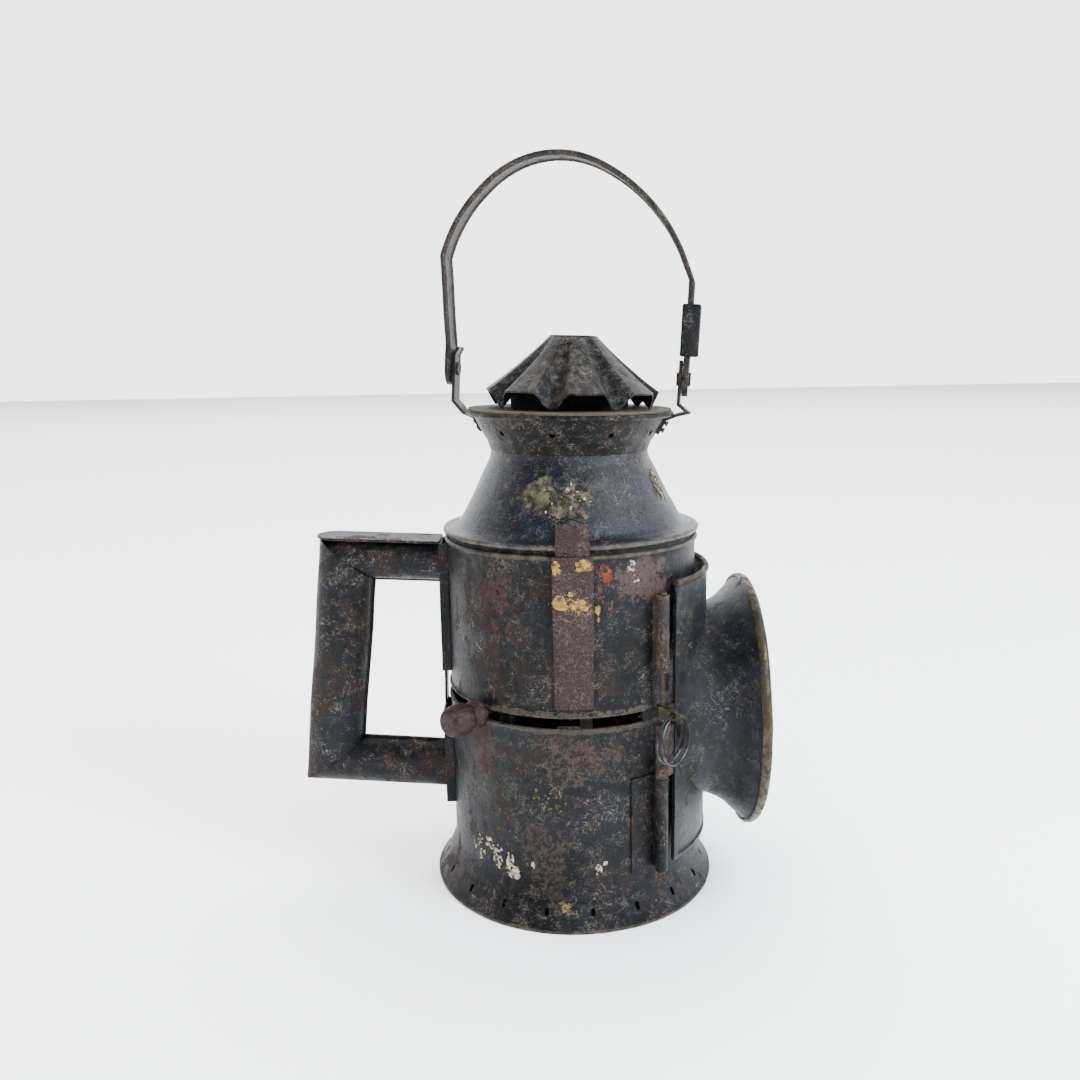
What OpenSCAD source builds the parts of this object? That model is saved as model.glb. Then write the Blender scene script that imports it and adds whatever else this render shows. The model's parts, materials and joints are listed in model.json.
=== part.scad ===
// Railway hand signal lamp in black japanned sheet metal.
// Origin on the lamp's axis, on the plane that it stands on. +Z is up.
// +X points at the lens, -X at the hand grip and -Y at the latch on the front.
// An azimuth is counted from the front (-Y) towards the lens (+X).

/* [Body] */
// Outer radius of the body drum
body_r = 57; // [56.5:0.1:57.5]
// Height of the seam where the body meets the skirt
body_foot_z = 12; // [11:0.5:13]
// Height of the rolled edge at the top of the body
body_top_z = 163; // [162:0.5:164]
// Thickness of the sheet metal
sheet = 0.8; // [0.6:0.05:0.9]
// Radius of the skirt's foot
foot_r = 65; // [63:0.5:67]
// Radius of the wired edge round the foot
foot_bead_r = 1.3; // [1:0.1:1.5]
// Number of air holes round the skirt
skirt_holes = 19; // [12:1:24]
// Width of an air hole in the skirt
skirt_hole_w = 1.9; // [1.5:0.1:2.6]

/* [Colour slot] */
// Height of the middle of the slot
slot_z = 92; // [91:0.5:93]
// Height of the slot
slot_h = 5; // [4.6:0.1:6]
// Azimuth of the slot's end beside the handle
slot_from = -92; // [-95:1:-90]
// Azimuth of the slot's end beside the hinge
slot_to = 30; // [28:0.5:31]

/* [Colour drum] */
// Radius of the colour drum
drum_r = 52.5; // [51.5:0.1:53]
// Azimuth of the knob as the lamp stands
knob_az = -45; // [-46:1:-44]
// Angle between one colour and the next
colour_step = 50; // [46:1:52]
// Width of a colour glass
pane_w = 40; // [34:0.5:41]
// Height of a colour glass
pane_h = 84; // [76:1:88]
// Thickness of a colour glass
pane_t = 1.6; // [1.2:0.1:2]
// Radius of the knob's stem
stem_r = 2; // [1.5:0.1:2.1]
// Radius of the knob's head
knob_r = 7.1; // [6.8:0.1:7.4]
// Length of the turned knob
knob_len = 19; // [18:0.5:20]

/* [Hood] */
// Radius of the hood's rim
rim_r = 57.4; // [57:0.1:57.8]
// Radius of the waist between cone and collar
waist_r = 35; // [34:0.2:36]
// Height of the waist
waist_z = 202.5; // [201:0.5:204]
// Radius of the collar at its top
collar_r = 45.2; // [44.6:0.1:46]
// Height of the collar above the waist
collar_h = 17.5; // [17:0.5:18]
// Sideways lean of the bail and its ears, in degrees
top_lean = 3.5; // [0:0.5:4]
// Sideways lean of the collar, in degrees
collar_lean = 1.2; // [0:0.1:3]
// Lean of the cap on the collar, in degrees
cap_lean = 1.1; // [0:0.1:1.3]
// Number of smoke holes round the collar
collar_holes = 10; // [8:1:12]
// Radius of a smoke hole
collar_hole_r = 1.25; // [1:0.05:1.6]

/* [Cap] */
// Number of flutes round the cap
flutes = 8; // [6:1:10]
// Radius of the cap's flat crown
crown_r = 10.8; // [9.6:0.2:11.4]
// Radius of the cap at the tips of its flutes
cap_r = 39; // [38:0.2:39.6]
// Height of the cap above the collar's plate
cap_h = 31.7; // [31:0.1:32.4]
// Drop of a valley below the tips of the flutes
valley_drop = 6.8; // [6:0.1:7.4]
// Draw-in of a valley from the tips of the flutes
valley_draw = 3; // [2:0.1:4]

/* [Bail] */
// Turn of the bail away from the lens's line, in degrees
bail_turn = -10; // [-12:0.5:-8]
// Height of the bail's pivots above the waist
pivot_h = 33.5; // [33:0.5:34]
// Width of the bail's strip
bail_w = 15; // [13:0.5:16]
// Thickness of the bail's strip
bail_t = 2.6; // [2.2:0.1:3]
// Radius of the top of the bow
bow_r = 45.3; // [45:0.1:46]
// Radius of the bow's shoulder on the grip's side
bow_grip_r = 69.9; // [69:0.1:71]
// Radius of the bow's shoulder on the lens's side
bow_lens_r = 78.2; // [77:0.1:79]
// Radius of the pivot rivets
pivot_r = 1.6; // [1.3:0.1:1.9]
// Width of an ear
ear_w = 10; // [9:0.5:11]
// Length of the locking sleeve
sleeve_len = 22.4; // [20:0.2:24]
// Travel of the locking sleeve up the leg
sleeve_travel = 8; // [6:0.5:9]

/* [Grip] */
// Width of the grip seen from the side
grip_w = 26; // [24:0.5:27]
// Depth of the grip from front to back
grip_d = 19; // [17:0.5:20]
// Lean of the grip towards the body, in degrees
grip_lean = 6.2; // [4:0.2:7]
// Height of the upper arm
upper_arm_h = 18.5; // [17:0.5:19]
// Rise of the upper arm away from the body, in degrees
upper_arm_rise = 2.8; // [2:0.1:4]
// Height of the lower arm
lower_arm_h = 22; // [20:0.5:23]
// Rise of the lower arm away from the body, in degrees
lower_arm_rise = 4.2; // [3:0.1:5]
// Width of the strip that carries the grip
back_w = 20; // [18:0.5:22]

/* [Lens door] */
// Outer radius of the curved door
door_r = 62.5; // [62.2:0.1:63]
// Azimuth of the door's edge beside the hinge
door_edge_az = 43; // [42.5:0.5:45]
// Height of the door's lower edge
door_z0 = 23; // [22:0.5:24]
// Height of the door's upper edge
door_z1 = 147.5; // [146:0.5:149]
// Azimuth of the hinge pins
hinge_az = 36.5; // [36:0.5:37]
// Radius from the lamp's axis to the hinge pins
hinge_r = 62; // [61.8:0.1:62.4]
// Radius of a hinge pin
pin_r = 1.2; // [1:0.05:1.3]
// Outer radius of a hinge barrel
barrel_r = 2.8; // [2.6:0.1:3]
// Radius of the pull ring at the middle of its wire
ring_r = 10.7; // [10:0.1:11]
// Radius of the pull ring's wire
ring_wire_r = 0.9; // [0.8:0.05:1]

/* [Lens] */
// Height of the lens's middle
lens_z = 83; // [82:0.5:84]
// Radius of the bell where it leaves the door
throat_r = 44.5; // [42:0.5:44.5]
// Outer radius of the brass rim
bezel_r = 58.6; // [57:0.2:59]
// Distance from the lamp's axis to the rim's front
bezel_x = 83; // [82.5:0.5:84]
// Width of the brass rim's band
bezel_w = 5; // [4.6:0.1:6]
// Bulge of the bull's-eye lens
lens_bulge = 10; // [8:0.5:12]

/* [Burner] */
// Radius of the oil font
font_r = 39; // [36:0.5:40]
// Height of the oil font
font_h = 24; // [20:1:26]
// Radius of the burner
burner_r = 15; // [13:0.5:16]
// Width of the flat wick
wick_w = 15; // [12:0.5:16]
// Radius of the reflector
reflector_r = 33; // [28:0.5:34]

/* [Fits] */
// Gap between pieces that move past each other
run_gap = 0.3; // [0.25:0.05:0.4]
// Gap round a pin or a rivet in its hole
pin_gap = 0.05; // [0.03:0.01:0.08]
// Gap between pieces that are soldered together
lap_gap = 0.05; // [0.02:0.01:0.08]

/* [Hidden] */
$fn = 96;
cut = 0.5;
far = 400;

black = [0.09, 0.1, 0.12];
rust = [0.3, 0.22, 0.2];
dusty = [0.42, 0.38, 0.33];
brass = [0.55, 0.43, 0.22];
clear = [0.8, 0.85, 0.85, 0.5];

// Radii and heights that follow from the driving sizes
shell_in_r = body_r - sheet;
bead_r = 1.1;
rim_z = body_top_z + bead_r + 3.2;
rim_bead_r = 1.2;
collar_bead_r = 1.1;
flange_z = rim_z + rim_bead_r;
neck_top_z = flange_z - 1.1;
neck_r = shell_in_r - 0.2;
floor_z = body_foot_z + 1;
cone_foot_r = 51.5;
cone_foot_z = flange_z + 1;
tongue_w = 14;
tongue_t = 0.8;
tongue_in_r = rim_r + rim_bead_r + run_gap;
tongue_foot_z = 155;
hood_axis_r = tongue_in_r + sheet + 1.5;
hood_axis_z = body_top_z + bead_r + 1.6;
hood_knuckle_r = 2.2;
plate_z = waist_z + collar_h;
pivot_z = waist_z + pivot_h;
strap_az = -1;
strap_foot_z = 98.5;
drum_z0 = 34;
drum_ring_h = 7;
drum_z1 = drum_z0 + drum_ring_h + pane_h + 1;
pane_in = 3;
throat_x = door_r - 1;
pane_r = sqrt(pow(drum_r - pane_in, 2) - pow(pane_w / 2, 2));
flame_z = lens_z - 6;
font_top = floor_z + sheet + font_h;
burner_z = font_top + 3;
spindle_z = burner_z + 8;
burner_foot_r = 9.4;
wick_dip = 12;

// Turns +X to an azimuth
module around(a) rotate([0, 0, a - 90]) children();

// A full turn of a profile drawn as radius and height
module turned() rotate_extrude($fn = 128) children();

// Part of a turn between two azimuths
module turned_arc(a0, a1) {
    around(a0) rotate_extrude(angle = a1 - a0, $fn = 128) children();
}

// A tube standing on the plane z0
module pipe(r, t, z0, z1) {
    translate([0, 0, z0]) difference() {
        cylinder(r = r, h = z1 - z0);
        translate([0, 0, -cut]) cylinder(r = r - t, h = z1 - z0 + 2 * cut);
    }
}

// Everything above the waist leans a little towards the lens, the bail more than the collar
module leaned(tilt) {
    translate([0, 0, waist_z]) rotate([0, tilt, 0]) translate([0, 0, -waist_z]) children();
}

module collar_frame() leaned(collar_lean) children();

// The bail and its ears also stand turned about the lamp's axis
module bail_frame() leaned(top_lean) rotate([0, 0, bail_turn]) children();

// The hinge line of the door
module at_hinge() around(hinge_az) translate([hinge_r, 0, 0]) children();

// Skirt: a flared ring with a wired foot and air holes
module base_skirt() {
    color(black) difference() {
        turned() polygon([[shell_in_r - lap_gap - sheet, body_foot_z + 7], [shell_in_r - lap_gap, body_foot_z + 7],
            [shell_in_r - lap_gap, body_foot_z + 4.8], [body_r + 1.2, body_foot_z + 0.4],
            [body_r + 2.6, body_foot_z - 1.8], [foot_r - 2.1, 5.2],
            each [for (a = [70 : -14 : -168]) [foot_r - 0.2, foot_bead_r - 0.3] + foot_bead_r * [cos(a), sin(a)]],
            [foot_r - 3, 4.9], [body_r + 1.8, body_foot_z - 2.2],
            [body_r + 0.4, body_foot_z], [shell_in_r - lap_gap - sheet, body_foot_z + 4.6]]);
        translate([0, 0, -far]) cylinder(r = far, h = far);
        for (i = [0 : skirt_holes - 1])
            around(5.8 + i * 360 / skirt_holes) translate([body_r - 2, 0, 7.4])
                for (s = [-1, 0, 1]) translate([0, 0, s * 0.6]) rotate([0, 90, 0])
                    cylinder(r = skirt_hole_w / 2, h = 12, $fn = 24);
    }
}

// Bottom plate inside the skirt, with a turned-down edge
module bottom_plate() {
    color(black) turned() polygon([[0, floor_z - sheet], [shell_in_r - lap_gap - sheet, floor_z - sheet],
        [shell_in_r - lap_gap - sheet, floor_z - 0.6 - sheet], [shell_in_r - lap_gap, floor_z - 0.6 - sheet],
        [shell_in_r - lap_gap, floor_z], [0, floor_z]]);
}

// Body: the drum that holds the lamp, with the colour slot and the lens opening
module body_shell() {
    color(black) difference() {
        union() {
            turned() polygon([[body_r + 1.9, body_foot_z], [body_r + 2.7, body_foot_z],
                [body_r + 1.2, body_foot_z + 3.4], [body_r, body_foot_z + 6], [body_r, body_top_z - 1.2],
                each [for (a = [-75 : 25 : 150]) [body_r + 0.1, body_top_z] + bead_r * [cos(a), sin(a)]],
                [neck_r, body_top_z + 1.4], [neck_r, neck_top_z], [neck_r - sheet, neck_top_z],
                [neck_r - sheet, body_top_z - 5], [shell_in_r, body_top_z - 6],
                [shell_in_r, body_foot_z + 5.6], [body_r + 0.4, body_foot_z + 3]]);
            for (s = [-1, 1])
                turned_arc(slot_from - 0.6, slot_to + 0.6)
                    translate([body_r + 0.1, slot_z + s * (slot_h / 2 + 0.5)]) circle(r = 0.75, $fn = 24);
        }
        translate([0, 0, slot_z - slot_h / 2]) slot_wedge();
        translate([0, 0, lens_z]) rotate([0, 90, 0]) cylinder(r = throat_r - 3, h = far);
    }
}

// The band of space that the slot cuts out of the body
module slot_wedge() {
    intersection() {
        cylinder(r = body_r + 5, h = slot_h);
        linear_extrude(slot_h) polygon([for (a = [slot_from, (slot_from + slot_to) / 2, slot_to])
            2 * body_r * [sin(a), -cos(a)], [0, 0]]);
    }
}

// Pocket: the strap on the front that takes the hood's tongue
module latch_pocket() {
    color(rust) around(strap_az) difference() {
        intersection() {
            turned() polygon([[body_r + lap_gap, strap_foot_z], [body_r + 0.9, strap_foot_z],
                [body_r + 0.9, 124], [tongue_in_r + 2.2, 131], [tongue_in_r + 2.2, body_top_z + 1],
                [body_r + 1.6, body_top_z + 1], [body_r + 1.6, body_top_z - 1.8], [body_r + lap_gap, body_top_z - 2.6]]);
            rotate([90, 0, 90]) linear_extrude(far)
                polygon([[-8.2, strap_foot_z], [8.2, strap_foot_z], [9.5, far], [-9.5, far]]);
        }
        intersection() {
            turned() polygon([[body_r - 1, tongue_foot_z - 4], [tongue_in_r + 1.4, tongue_foot_z - 4],
                [tongue_in_r + 1.4, far], [body_r - 1, far]]);
            translate([0, -tongue_w / 2 - 0.7, 0]) cube([far, tongue_w + 1.4, far]);
        }
    }
}

// One sheet-metal tube of the grip, oval, along +Z, with its lap seam on the +X side
module oval(w, d) {
    m = min(w, d);
    for (s = [-1, 1]) translate([s * (w - m) / 2, s * (d - m) / 2]) circle(d = m, $fn = 64);
    square(w > d ? [w - m, d] : [w, d - m], center = true);
}

module oval_tube(w, d, len) {
    linear_extrude(len) difference() {
        union() {
            oval(w, d);
            translate([w / 2, 0]) square([2, 1.2], center = true);
        }
        oval(w - 2 * sheet - 0.4, d - 2 * sheet - 0.4);
    }
}

// The grip's frame, seen from the side. Each mitre runs through the corners where edges meet.
arm_root_x = -body_r - 3.6;
upper_root = [arm_root_x, 161 - upper_arm_h / 2];
lower_root = [arm_root_x, 41 + lower_arm_h / 2];
grip_mid = [-109.3, 104];
grip_dir = [sin(grip_lean), cos(grip_lean)];
grip_side = [cos(grip_lean), -sin(grip_lean)] * grip_w / 2;

function arm_dir(rise) = [-cos(rise), sin(rise)];
function arm_up(rise) = [sin(rise), cos(rise)];
function meet(p, d, q, e) = p + d * cross(q - p, e) / cross(d, e);

upper_in = meet(grip_mid + grip_side, grip_dir,
    upper_root - arm_up(upper_arm_rise) * upper_arm_h / 2, arm_dir(upper_arm_rise));
upper_out = meet(grip_mid - grip_side, grip_dir,
    upper_root + arm_up(upper_arm_rise) * upper_arm_h / 2, arm_dir(upper_arm_rise));
lower_in = meet(grip_mid + grip_side, grip_dir,
    lower_root + arm_up(lower_arm_rise) * lower_arm_h / 2, arm_dir(lower_arm_rise));
lower_out = meet(grip_mid - grip_side, grip_dir,
    lower_root - arm_up(lower_arm_rise) * lower_arm_h / 2, arm_dir(lower_arm_rise));
upper_tilt = atan2(upper_out[1] - upper_in[1], upper_in[0] - upper_out[0]);
lower_tilt = 180 - atan2(lower_in[1] - lower_out[1], lower_in[0] - lower_out[0]);
upper_reach = norm(upper_out - upper_root) - 9;

module upper_arm_frame() {
    translate([upper_root[0], 0, upper_root[1]]) rotate([0, -90 + upper_arm_rise, 0]) children();
}

module lower_arm_frame() {
    translate([lower_root[0], 0, lower_root[1]]) rotate([0, -90 + lower_arm_rise, 0]) children();
}

module grip_frame() {
    translate([grip_mid[0], 0, grip_mid[1]]) rotate([0, grip_lean, 0]) children();
}

// The half of space on the arm's side of a mitre
module mitre_space(at, tilt, gap) {
    translate([at[0], 0, at[1]]) rotate([0, tilt, 0]) translate([-far / 2, -far / 2, gap]) cube(far);
}

module grip_tube() {
    color(rust) difference() {
        grip_frame() translate([0, 0, -80]) oval_tube(grip_w, grip_d, 160);
        mitre_space(upper_in, upper_tilt, -lap_gap);
        mitre_space(lower_in, lower_tilt, -lap_gap);
    }
}

// The space on the arms' side of the strip that they stand on
module arm_side() translate([arm_root_x - lap_gap - far, -far / 2, 0]) cube([far, far, far]);

module grip_upper_arm() {
    color(black) intersection() {
        upper_arm_frame() rotate([0, 0, 180]) translate([0, 0, -2]) oval_tube(upper_arm_h, grip_d, 90);
        mitre_space(upper_in, upper_tilt, 0);
        arm_side();
    }
}

module grip_lower_arm() {
    color(black) intersection() {
        lower_arm_frame() translate([0, 0, -2]) oval_tube(lower_arm_h, grip_d, 90);
        mitre_space(lower_in, lower_tilt, 0);
        arm_side();
    }
}

// Plate that closes the upper arm
module grip_top_plate() {
    color(dusty) upper_arm_frame() translate([upper_arm_h / 2 + lap_gap, 0, 0]) rotate([90, 0, 90])
        linear_extrude(1.1) {
            translate([0, lap_gap]) translate([-10.5, 0]) square([21, upper_reach]);
            translate([0, upper_reach]) scale([1, 0.9]) circle(r = 10.5, $fn = 64);
        }
}

// Channel strip between the body and the arms, notched for the knob
module grip_back_strip() {
    color(black) difference() {
        translate([-body_r - 3.6, -back_w / 2, 36]) cube([6, back_w, 126.5 - 1.6]);
        translate([-body_r - 2.5, -back_w / 2 + 1.2, 0]) cube([far, back_w - 2.4, far]);
        translate([0, 0, -cut]) cylinder(r = body_r + lap_gap, h = body_top_z - 2);
        translate([-far - body_r + 2, -far, slot_z - 10.5]) cube([far, far + 1.5, 19.5]);
        translate([-body_r - 2.5, -cut, slot_z - 10.5]) cube([far, far, 19.5]);
    }
}

// Barrels and pins of the door's hinge
module barrel(z0, z1) {
    difference() {
        translate([0, 0, z0]) cylinder(r = barrel_r, h = z1 - z0, $fn = 48);
        translate([0, 0, z0 - cut]) cylinder(r = pin_r + pin_gap, h = z1 - z0 + 2 * cut, $fn = 48);
    }
}

lower_barrel_z0 = 21;
lower_barrel_z1 = 63.7;
door_barrel_z0 = lower_barrel_z1 + 0.5;
door_barrel_z1 = 88;
upper_barrel_z0 = 112;
upper_barrel_z1 = 145.4;
eye_z0 = 92;
eye_z1 = 97;

module hinge_web(z0, z1, w) {
    difference() {
        around(hinge_az) translate([body_r - 5, -w / 2, z0]) cube([hinge_r - body_r + 5, w, z1 - z0]);
        translate([0, 0, z0 - cut]) cylinder(r = body_r + lap_gap, h = z1 - z0 + 2 * cut);
        at_hinge() translate([0, 0, z0 - cut]) cylinder(r = barrel_r - 0.8, h = z1 - z0 + 2 * cut);
    }
}

module upper_hinge_barrel() {
    color(rust) {
        at_hinge() barrel(upper_barrel_z0, upper_barrel_z1);
        hinge_web(upper_barrel_z0 + 1, upper_barrel_z1 - 1, 2.4);
    }
}

module lower_hinge_barrel() {
    color(rust) {
        at_hinge() barrel(lower_barrel_z0, lower_barrel_z1);
        hinge_web(lower_barrel_z0 + 1, lower_barrel_z1 - 0.5, 2.4);
        turned_arc(hinge_az - 12.5, hinge_az)
            translate([body_r + lap_gap, lower_barrel_z0]) square([sheet, lower_barrel_z1 - lower_barrel_z0 + 1]);
    }
}

module upper_hinge_pin() {
    color(brass) at_hinge() {
        translate([0, 0, eye_z0 + 2]) cylinder(r = pin_r, h = upper_barrel_z1 + 1 - eye_z0 - 2, $fn = 48);
        translate([0, 0, eye_z0 - 0.5]) cylinder(r1 = 0.3, r2 = pin_r, h = 2.5, $fn = 48);
        translate([0, 0, upper_barrel_z1 + 0.2]) cylinder(r = pin_r + 0.5, h = 1, $fn = 48);
    }
}

module lower_hinge_pin() {
    color(brass) at_hinge() {
        translate([0, 0, lower_barrel_z0 - 0.5]) cylinder(r = pin_r, h = door_barrel_z1 + 0.8 - lower_barrel_z0, $fn = 48);
        translate([0, 0, lower_barrel_z0 - 1.2]) cylinder(r = pin_r + 0.5, h = 1, $fn = 48);
    }
}

// Catch on the far side of the door: a tongue on the door in a keeper on the body
catch_az = 180 - hinge_az;

module door_keeper() {
    color(rust) around(catch_az) difference() {
        translate([body_r - 3, -3, lens_z - 9]) cube([door_r - body_r + 3.6, 6, 18]);
        translate([0, 0, -cut]) cylinder(r = body_r + lap_gap, h = far);
        translate([hinge_r - 1.4, -3 - cut, lens_z - 7]) cube([far, 4.8, 14]);
    }
}

module door_catch() {
    color(dusty) around(catch_az) {
        translate([hinge_r - 0.9, -6.9, lens_z - 6]) cube([0.8, 7.9, 12]);
        translate([hinge_r - 0.9, 0, lens_z - 6]) cube([2.4, 1, 12]);
    }
}

// Ledge inside the body that the colour drum turns on
module drum_ledge() {
    color(black) turned() polygon([[shell_in_r - lap_gap, drum_z0 - 5], [shell_in_r - lap_gap, drum_z0 - run_gap],
        [drum_r - 4, drum_z0 - run_gap], [drum_r - 4, drum_z0 - run_gap - sheet],
        [shell_in_r - lap_gap - sheet, drum_z0 - run_gap - sheet], [shell_in_r - lap_gap - sheet, drum_z0 - 5]]);
}

// Rear hinge of the hood
module rear_hinge_leaf() {
    color(rust) around(180) difference() {
        union() {
            intersection() {
                turned() polygon([[body_r + lap_gap, 147], [body_r + 0.85, 147], [body_r + 0.85, body_top_z - 3.4],
                    [body_r + 2.4, body_top_z - 1.6], [body_r + 2.4, hood_axis_z - 1],
                    [body_r + 1.4, hood_axis_z - 1], [body_r + 1.4, body_top_z - 1],
                    [body_r + lap_gap, body_top_z - 2.6]]);
                translate([0, -10, 0]) cube([far, 20, far]);
            }
            for (s = [-1, 1]) translate([0, s * 7.6, 0]) {
                translate([hood_axis_r, 0, hood_axis_z]) rotate([90, 0, 0])
                    cylinder(r = hood_knuckle_r, h = 4.8, center = true, $fn = 48);
                translate([body_r + 1.6, -2.4, hood_axis_z - 3.6]) cube([3.4, 4.8, 2.4]);
            }
        }
        translate([hood_axis_r, 0, hood_axis_z]) rotate([90, 0, 0]) {
            cylinder(r = pin_r + pin_gap, h = far, center = true, $fn = 48);
            cylinder(r = hood_knuckle_r + run_gap, h = 10.4, center = true, $fn = 48);
        }
    }
}

module rear_hinge_pin() {
    color(dusty) around(180) translate([hood_axis_r, 0, hood_axis_z]) rotate([90, 0, 0]) {
        cylinder(r = pin_r, h = 23, center = true, $fn = 48);
        for (s = [-1, 1]) translate([0, 0, s * 11.5]) cylinder(r = pin_r + 0.5, h = 1, center = true, $fn = 48);
    }
}

// Oil font on the bottom plate: a tank with a neck for the burner and a bore for its filler
module oil_font() {
    z0 = floor_z + lap_gap;
    neck = burner_foot_r + pin_gap;
    color(dusty) difference() {
        turned() polygon([[0, z0], [font_r - 1, z0], [font_r, z0 + 1], [font_r, font_top - 3.5],
            [font_r - 1.5, font_top - 2], [11, font_top], [neck, font_top], [neck, font_top - 4.5],
            [neck + 1.2, font_top - 4.5], [neck + 1.2, font_top - 1.1], [font_r - 2.2, font_top - 3.1],
            [font_r - 1, font_top - 4], [font_r - 1, z0 + 1.6], [font_r - 1.6, z0 + 1], [0, z0 + 1]]);
        translate([0, 24, font_top - 6]) cylinder(r = 5 + pin_gap, h = far, $fn = 48);
    }
}

module filler_cap() {
    color(brass) translate([0, 24, font_top - 5.4]) difference() {
        union() {
            cylinder(r = 5, h = 5, $fn = 48);
            translate([0, 0, 5]) cylinder(r = 7, h = 4, $fn = 48);
        }
        for (i = [0 : 15]) rotate([0, 0, i * 22.5]) translate([7.2, 0, 5]) cylinder(r = 0.5, h = 5, $fn = 16);
    }
}

// Burner: threaded foot, gallery and dome, with the slot for the wick tube
module burner() {
    color(brass) difference() {
        turned() polygon([[0, font_top - 4.9], [burner_foot_r, font_top - 4.9], [burner_foot_r, font_top + 1], [burner_r - 3, burner_z - 1],
            [burner_r, burner_z], [burner_r, burner_z + 4], [burner_r - 1.5, burner_z + 14],
            [burner_r - 5, burner_z + 19], [0, burner_z + 21]]);
        translate([-wick_w / 2 - 1.2 - lap_gap, -2.6 - lap_gap, font_top])
            cube([wick_w + 2.4 + 2 * lap_gap, 5.2 + 2 * lap_gap, far]);
        translate([-wick_w / 2 - run_gap, -1.4, font_top - 6]) cube([wick_w + 2 * run_gap, 2.8, far]);
        translate([0, 0, spindle_z]) rotate([90, 0, 0]) cylinder(r = 1.2 + pin_gap, h = far, $fn = 32);
        translate([-5, -6, spindle_z - 5]) cube([10, 4, 10]);
    }
}

module wick_tube() {
    color(brass) translate([0, 0, font_top + 0.2]) difference() {
        translate([-wick_w / 2 - 1.2, -2.6, 0]) cube([wick_w + 2.4, 5.2, flame_z - font_top - 12]);
        translate([-wick_w / 2 - run_gap, -1.4, -cut]) cube([wick_w + 2 * run_gap, 2.8, far]);
        translate([0, 0, spindle_z - font_top - 0.2]) rotate([90, 0, 0]) cylinder(r = 4.6, h = 4, $fn = 48);
    }
}

// Spindle with its toothed wheel against the wick
module wick_spindle() {
    color(brass) translate([0, 0, spindle_z]) rotate([90, 0, 0]) translate([0, 0, 1.6]) {
        cylinder(r = 1.2, h = 28, $fn = 32);
        difference() {
            cylinder(r = 3.8, h = 1.4, $fn = 48);
            for (i = [0 : 11]) rotate([0, 0, i * 30]) translate([4, 0, -cut]) cylinder(r = 0.6, h = 3, $fn = 16);
        }
    }
}

module wick_key() {
    color(brass) translate([0, 0, spindle_z]) rotate([90, 0, 0]) translate([0, 0, 29.7]) difference() {
        cylinder(r = 7, h = 2.4, $fn = 64);
        for (i = [0 : 19]) rotate([0, 0, i * 18]) translate([7.3, 0, -cut]) cylinder(r = 0.6, h = 4, $fn = 16);
    }
}

module wick() {
    color([0.85, 0.8, 0.7]) translate([-wick_w / 2, -1.1, font_top - wick_dip])
        cube([wick_w, 2.2, flame_z - 8.5 - font_top + wick_dip]);
}

// Reflector behind the flame, on its post
module reflector() {
    color([0.75, 0.75, 0.72]) translate([-42, 0, lens_z]) rotate([0, 90, 0]) turned()
        polygon([[0, 0], [9, 0.9], [18, 3.6], [27, 8.4], [reflector_r, 12.9], [reflector_r, 13.9],
            [27, 9.4], [18, 4.6], [9, 1.9], [0, 1]]);
}

module reflector_post() {
    color(dusty) translate([-36.2, -5, font_top - 1.8]) cube([1.4, 10, 21.8]);
}

// Lens door
module door_panel() {
    color(black) difference() {
        union() {
            turned_arc(door_edge_az, 180 - door_edge_az)
                translate([door_r - sheet, door_z0]) square([sheet, door_z1 - door_z0]);
            for (a = [door_edge_az, 180 - door_edge_az - 2])
                turned_arc(a, a + 2) translate([door_r - 1.2, door_z0]) square([1.7, door_z1 - door_z0 - 2]);
            turned_arc(door_edge_az, 180 - door_edge_az)
                translate([door_r - 1.1, door_z0]) square([1.5, 2]);
        }
        translate([0, 0, lens_z]) rotate([0, 90, 0]) cylinder(r = throat_r - sheet, h = far);
    }
}

module door_wired_edge() {
    color(dusty) turned_arc(door_edge_az + 0.5, 179.5 - door_edge_az)
        translate([door_r - 0.4, door_z1 + 1.4 + lap_gap]) circle(r = 1.4, $fn = 32);
}

module door_barrel() {
    color(rust) {
        at_hinge() barrel(door_barrel_z0, door_barrel_z1);
        turned_arc(hinge_az + 2, door_edge_az - 0.1)
            translate([hinge_r - 0.5, door_barrel_z0]) square([1, door_barrel_z1 - door_barrel_z0 - 1]);
    }
}

// The pull ring hangs in front of the hinge, turned along the door
ring_at = [41, -55.5];
ring_turn = 50;
ring_top_z = eye_z0 + 2.6;

module at_ring() translate([ring_at[0], ring_at[1], ring_top_z]) around(ring_turn) children();

module door_eye() {
    color(brass) difference() {
        union() {
            at_hinge() translate([0, 0, eye_z0]) cylinder(r = 2.6, h = eye_z1 - eye_z0, $fn = 48);
            turned_arc(hinge_az + 1.5, door_edge_az - 0.1) translate([hinge_r - 0.8, eye_z0 + 0.5]) square([1.6, 4]);
            at_ring() translate([-6.2, -0.8, -2.1]) cube([6.2, 1.6, 4.2]);
            at_ring() rotate([90, 0, 0]) cylinder(r = 2.6, h = 1.6, center = true, $fn = 48);
        }
        at_hinge() translate([0, 0, eye_z0 - cut]) cylinder(r = pin_r + pin_gap, h = 8, $fn = 48);
        at_ring() rotate([90, 0, 0]) cylinder(r = ring_wire_r + run_gap + 0.15, h = 8, center = true, $fn = 48);
    }
}

// Pull ring through the lug, hanging
module pull_ring() {
    color(dusty) at_ring() translate([0, 0, -ring_r]) rotate([90, 0, 90])
        rotate_extrude($fn = 64) translate([ring_r, 0]) circle(r = ring_wire_r, $fn = 24);
}

// Bell, putty, rim and lens, turned about the lens's axis
module about_lens() translate([0, 0, lens_z]) rotate([0, 90, 0]) children();

bell_mouth_x = bezel_x - 3.4;

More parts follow.
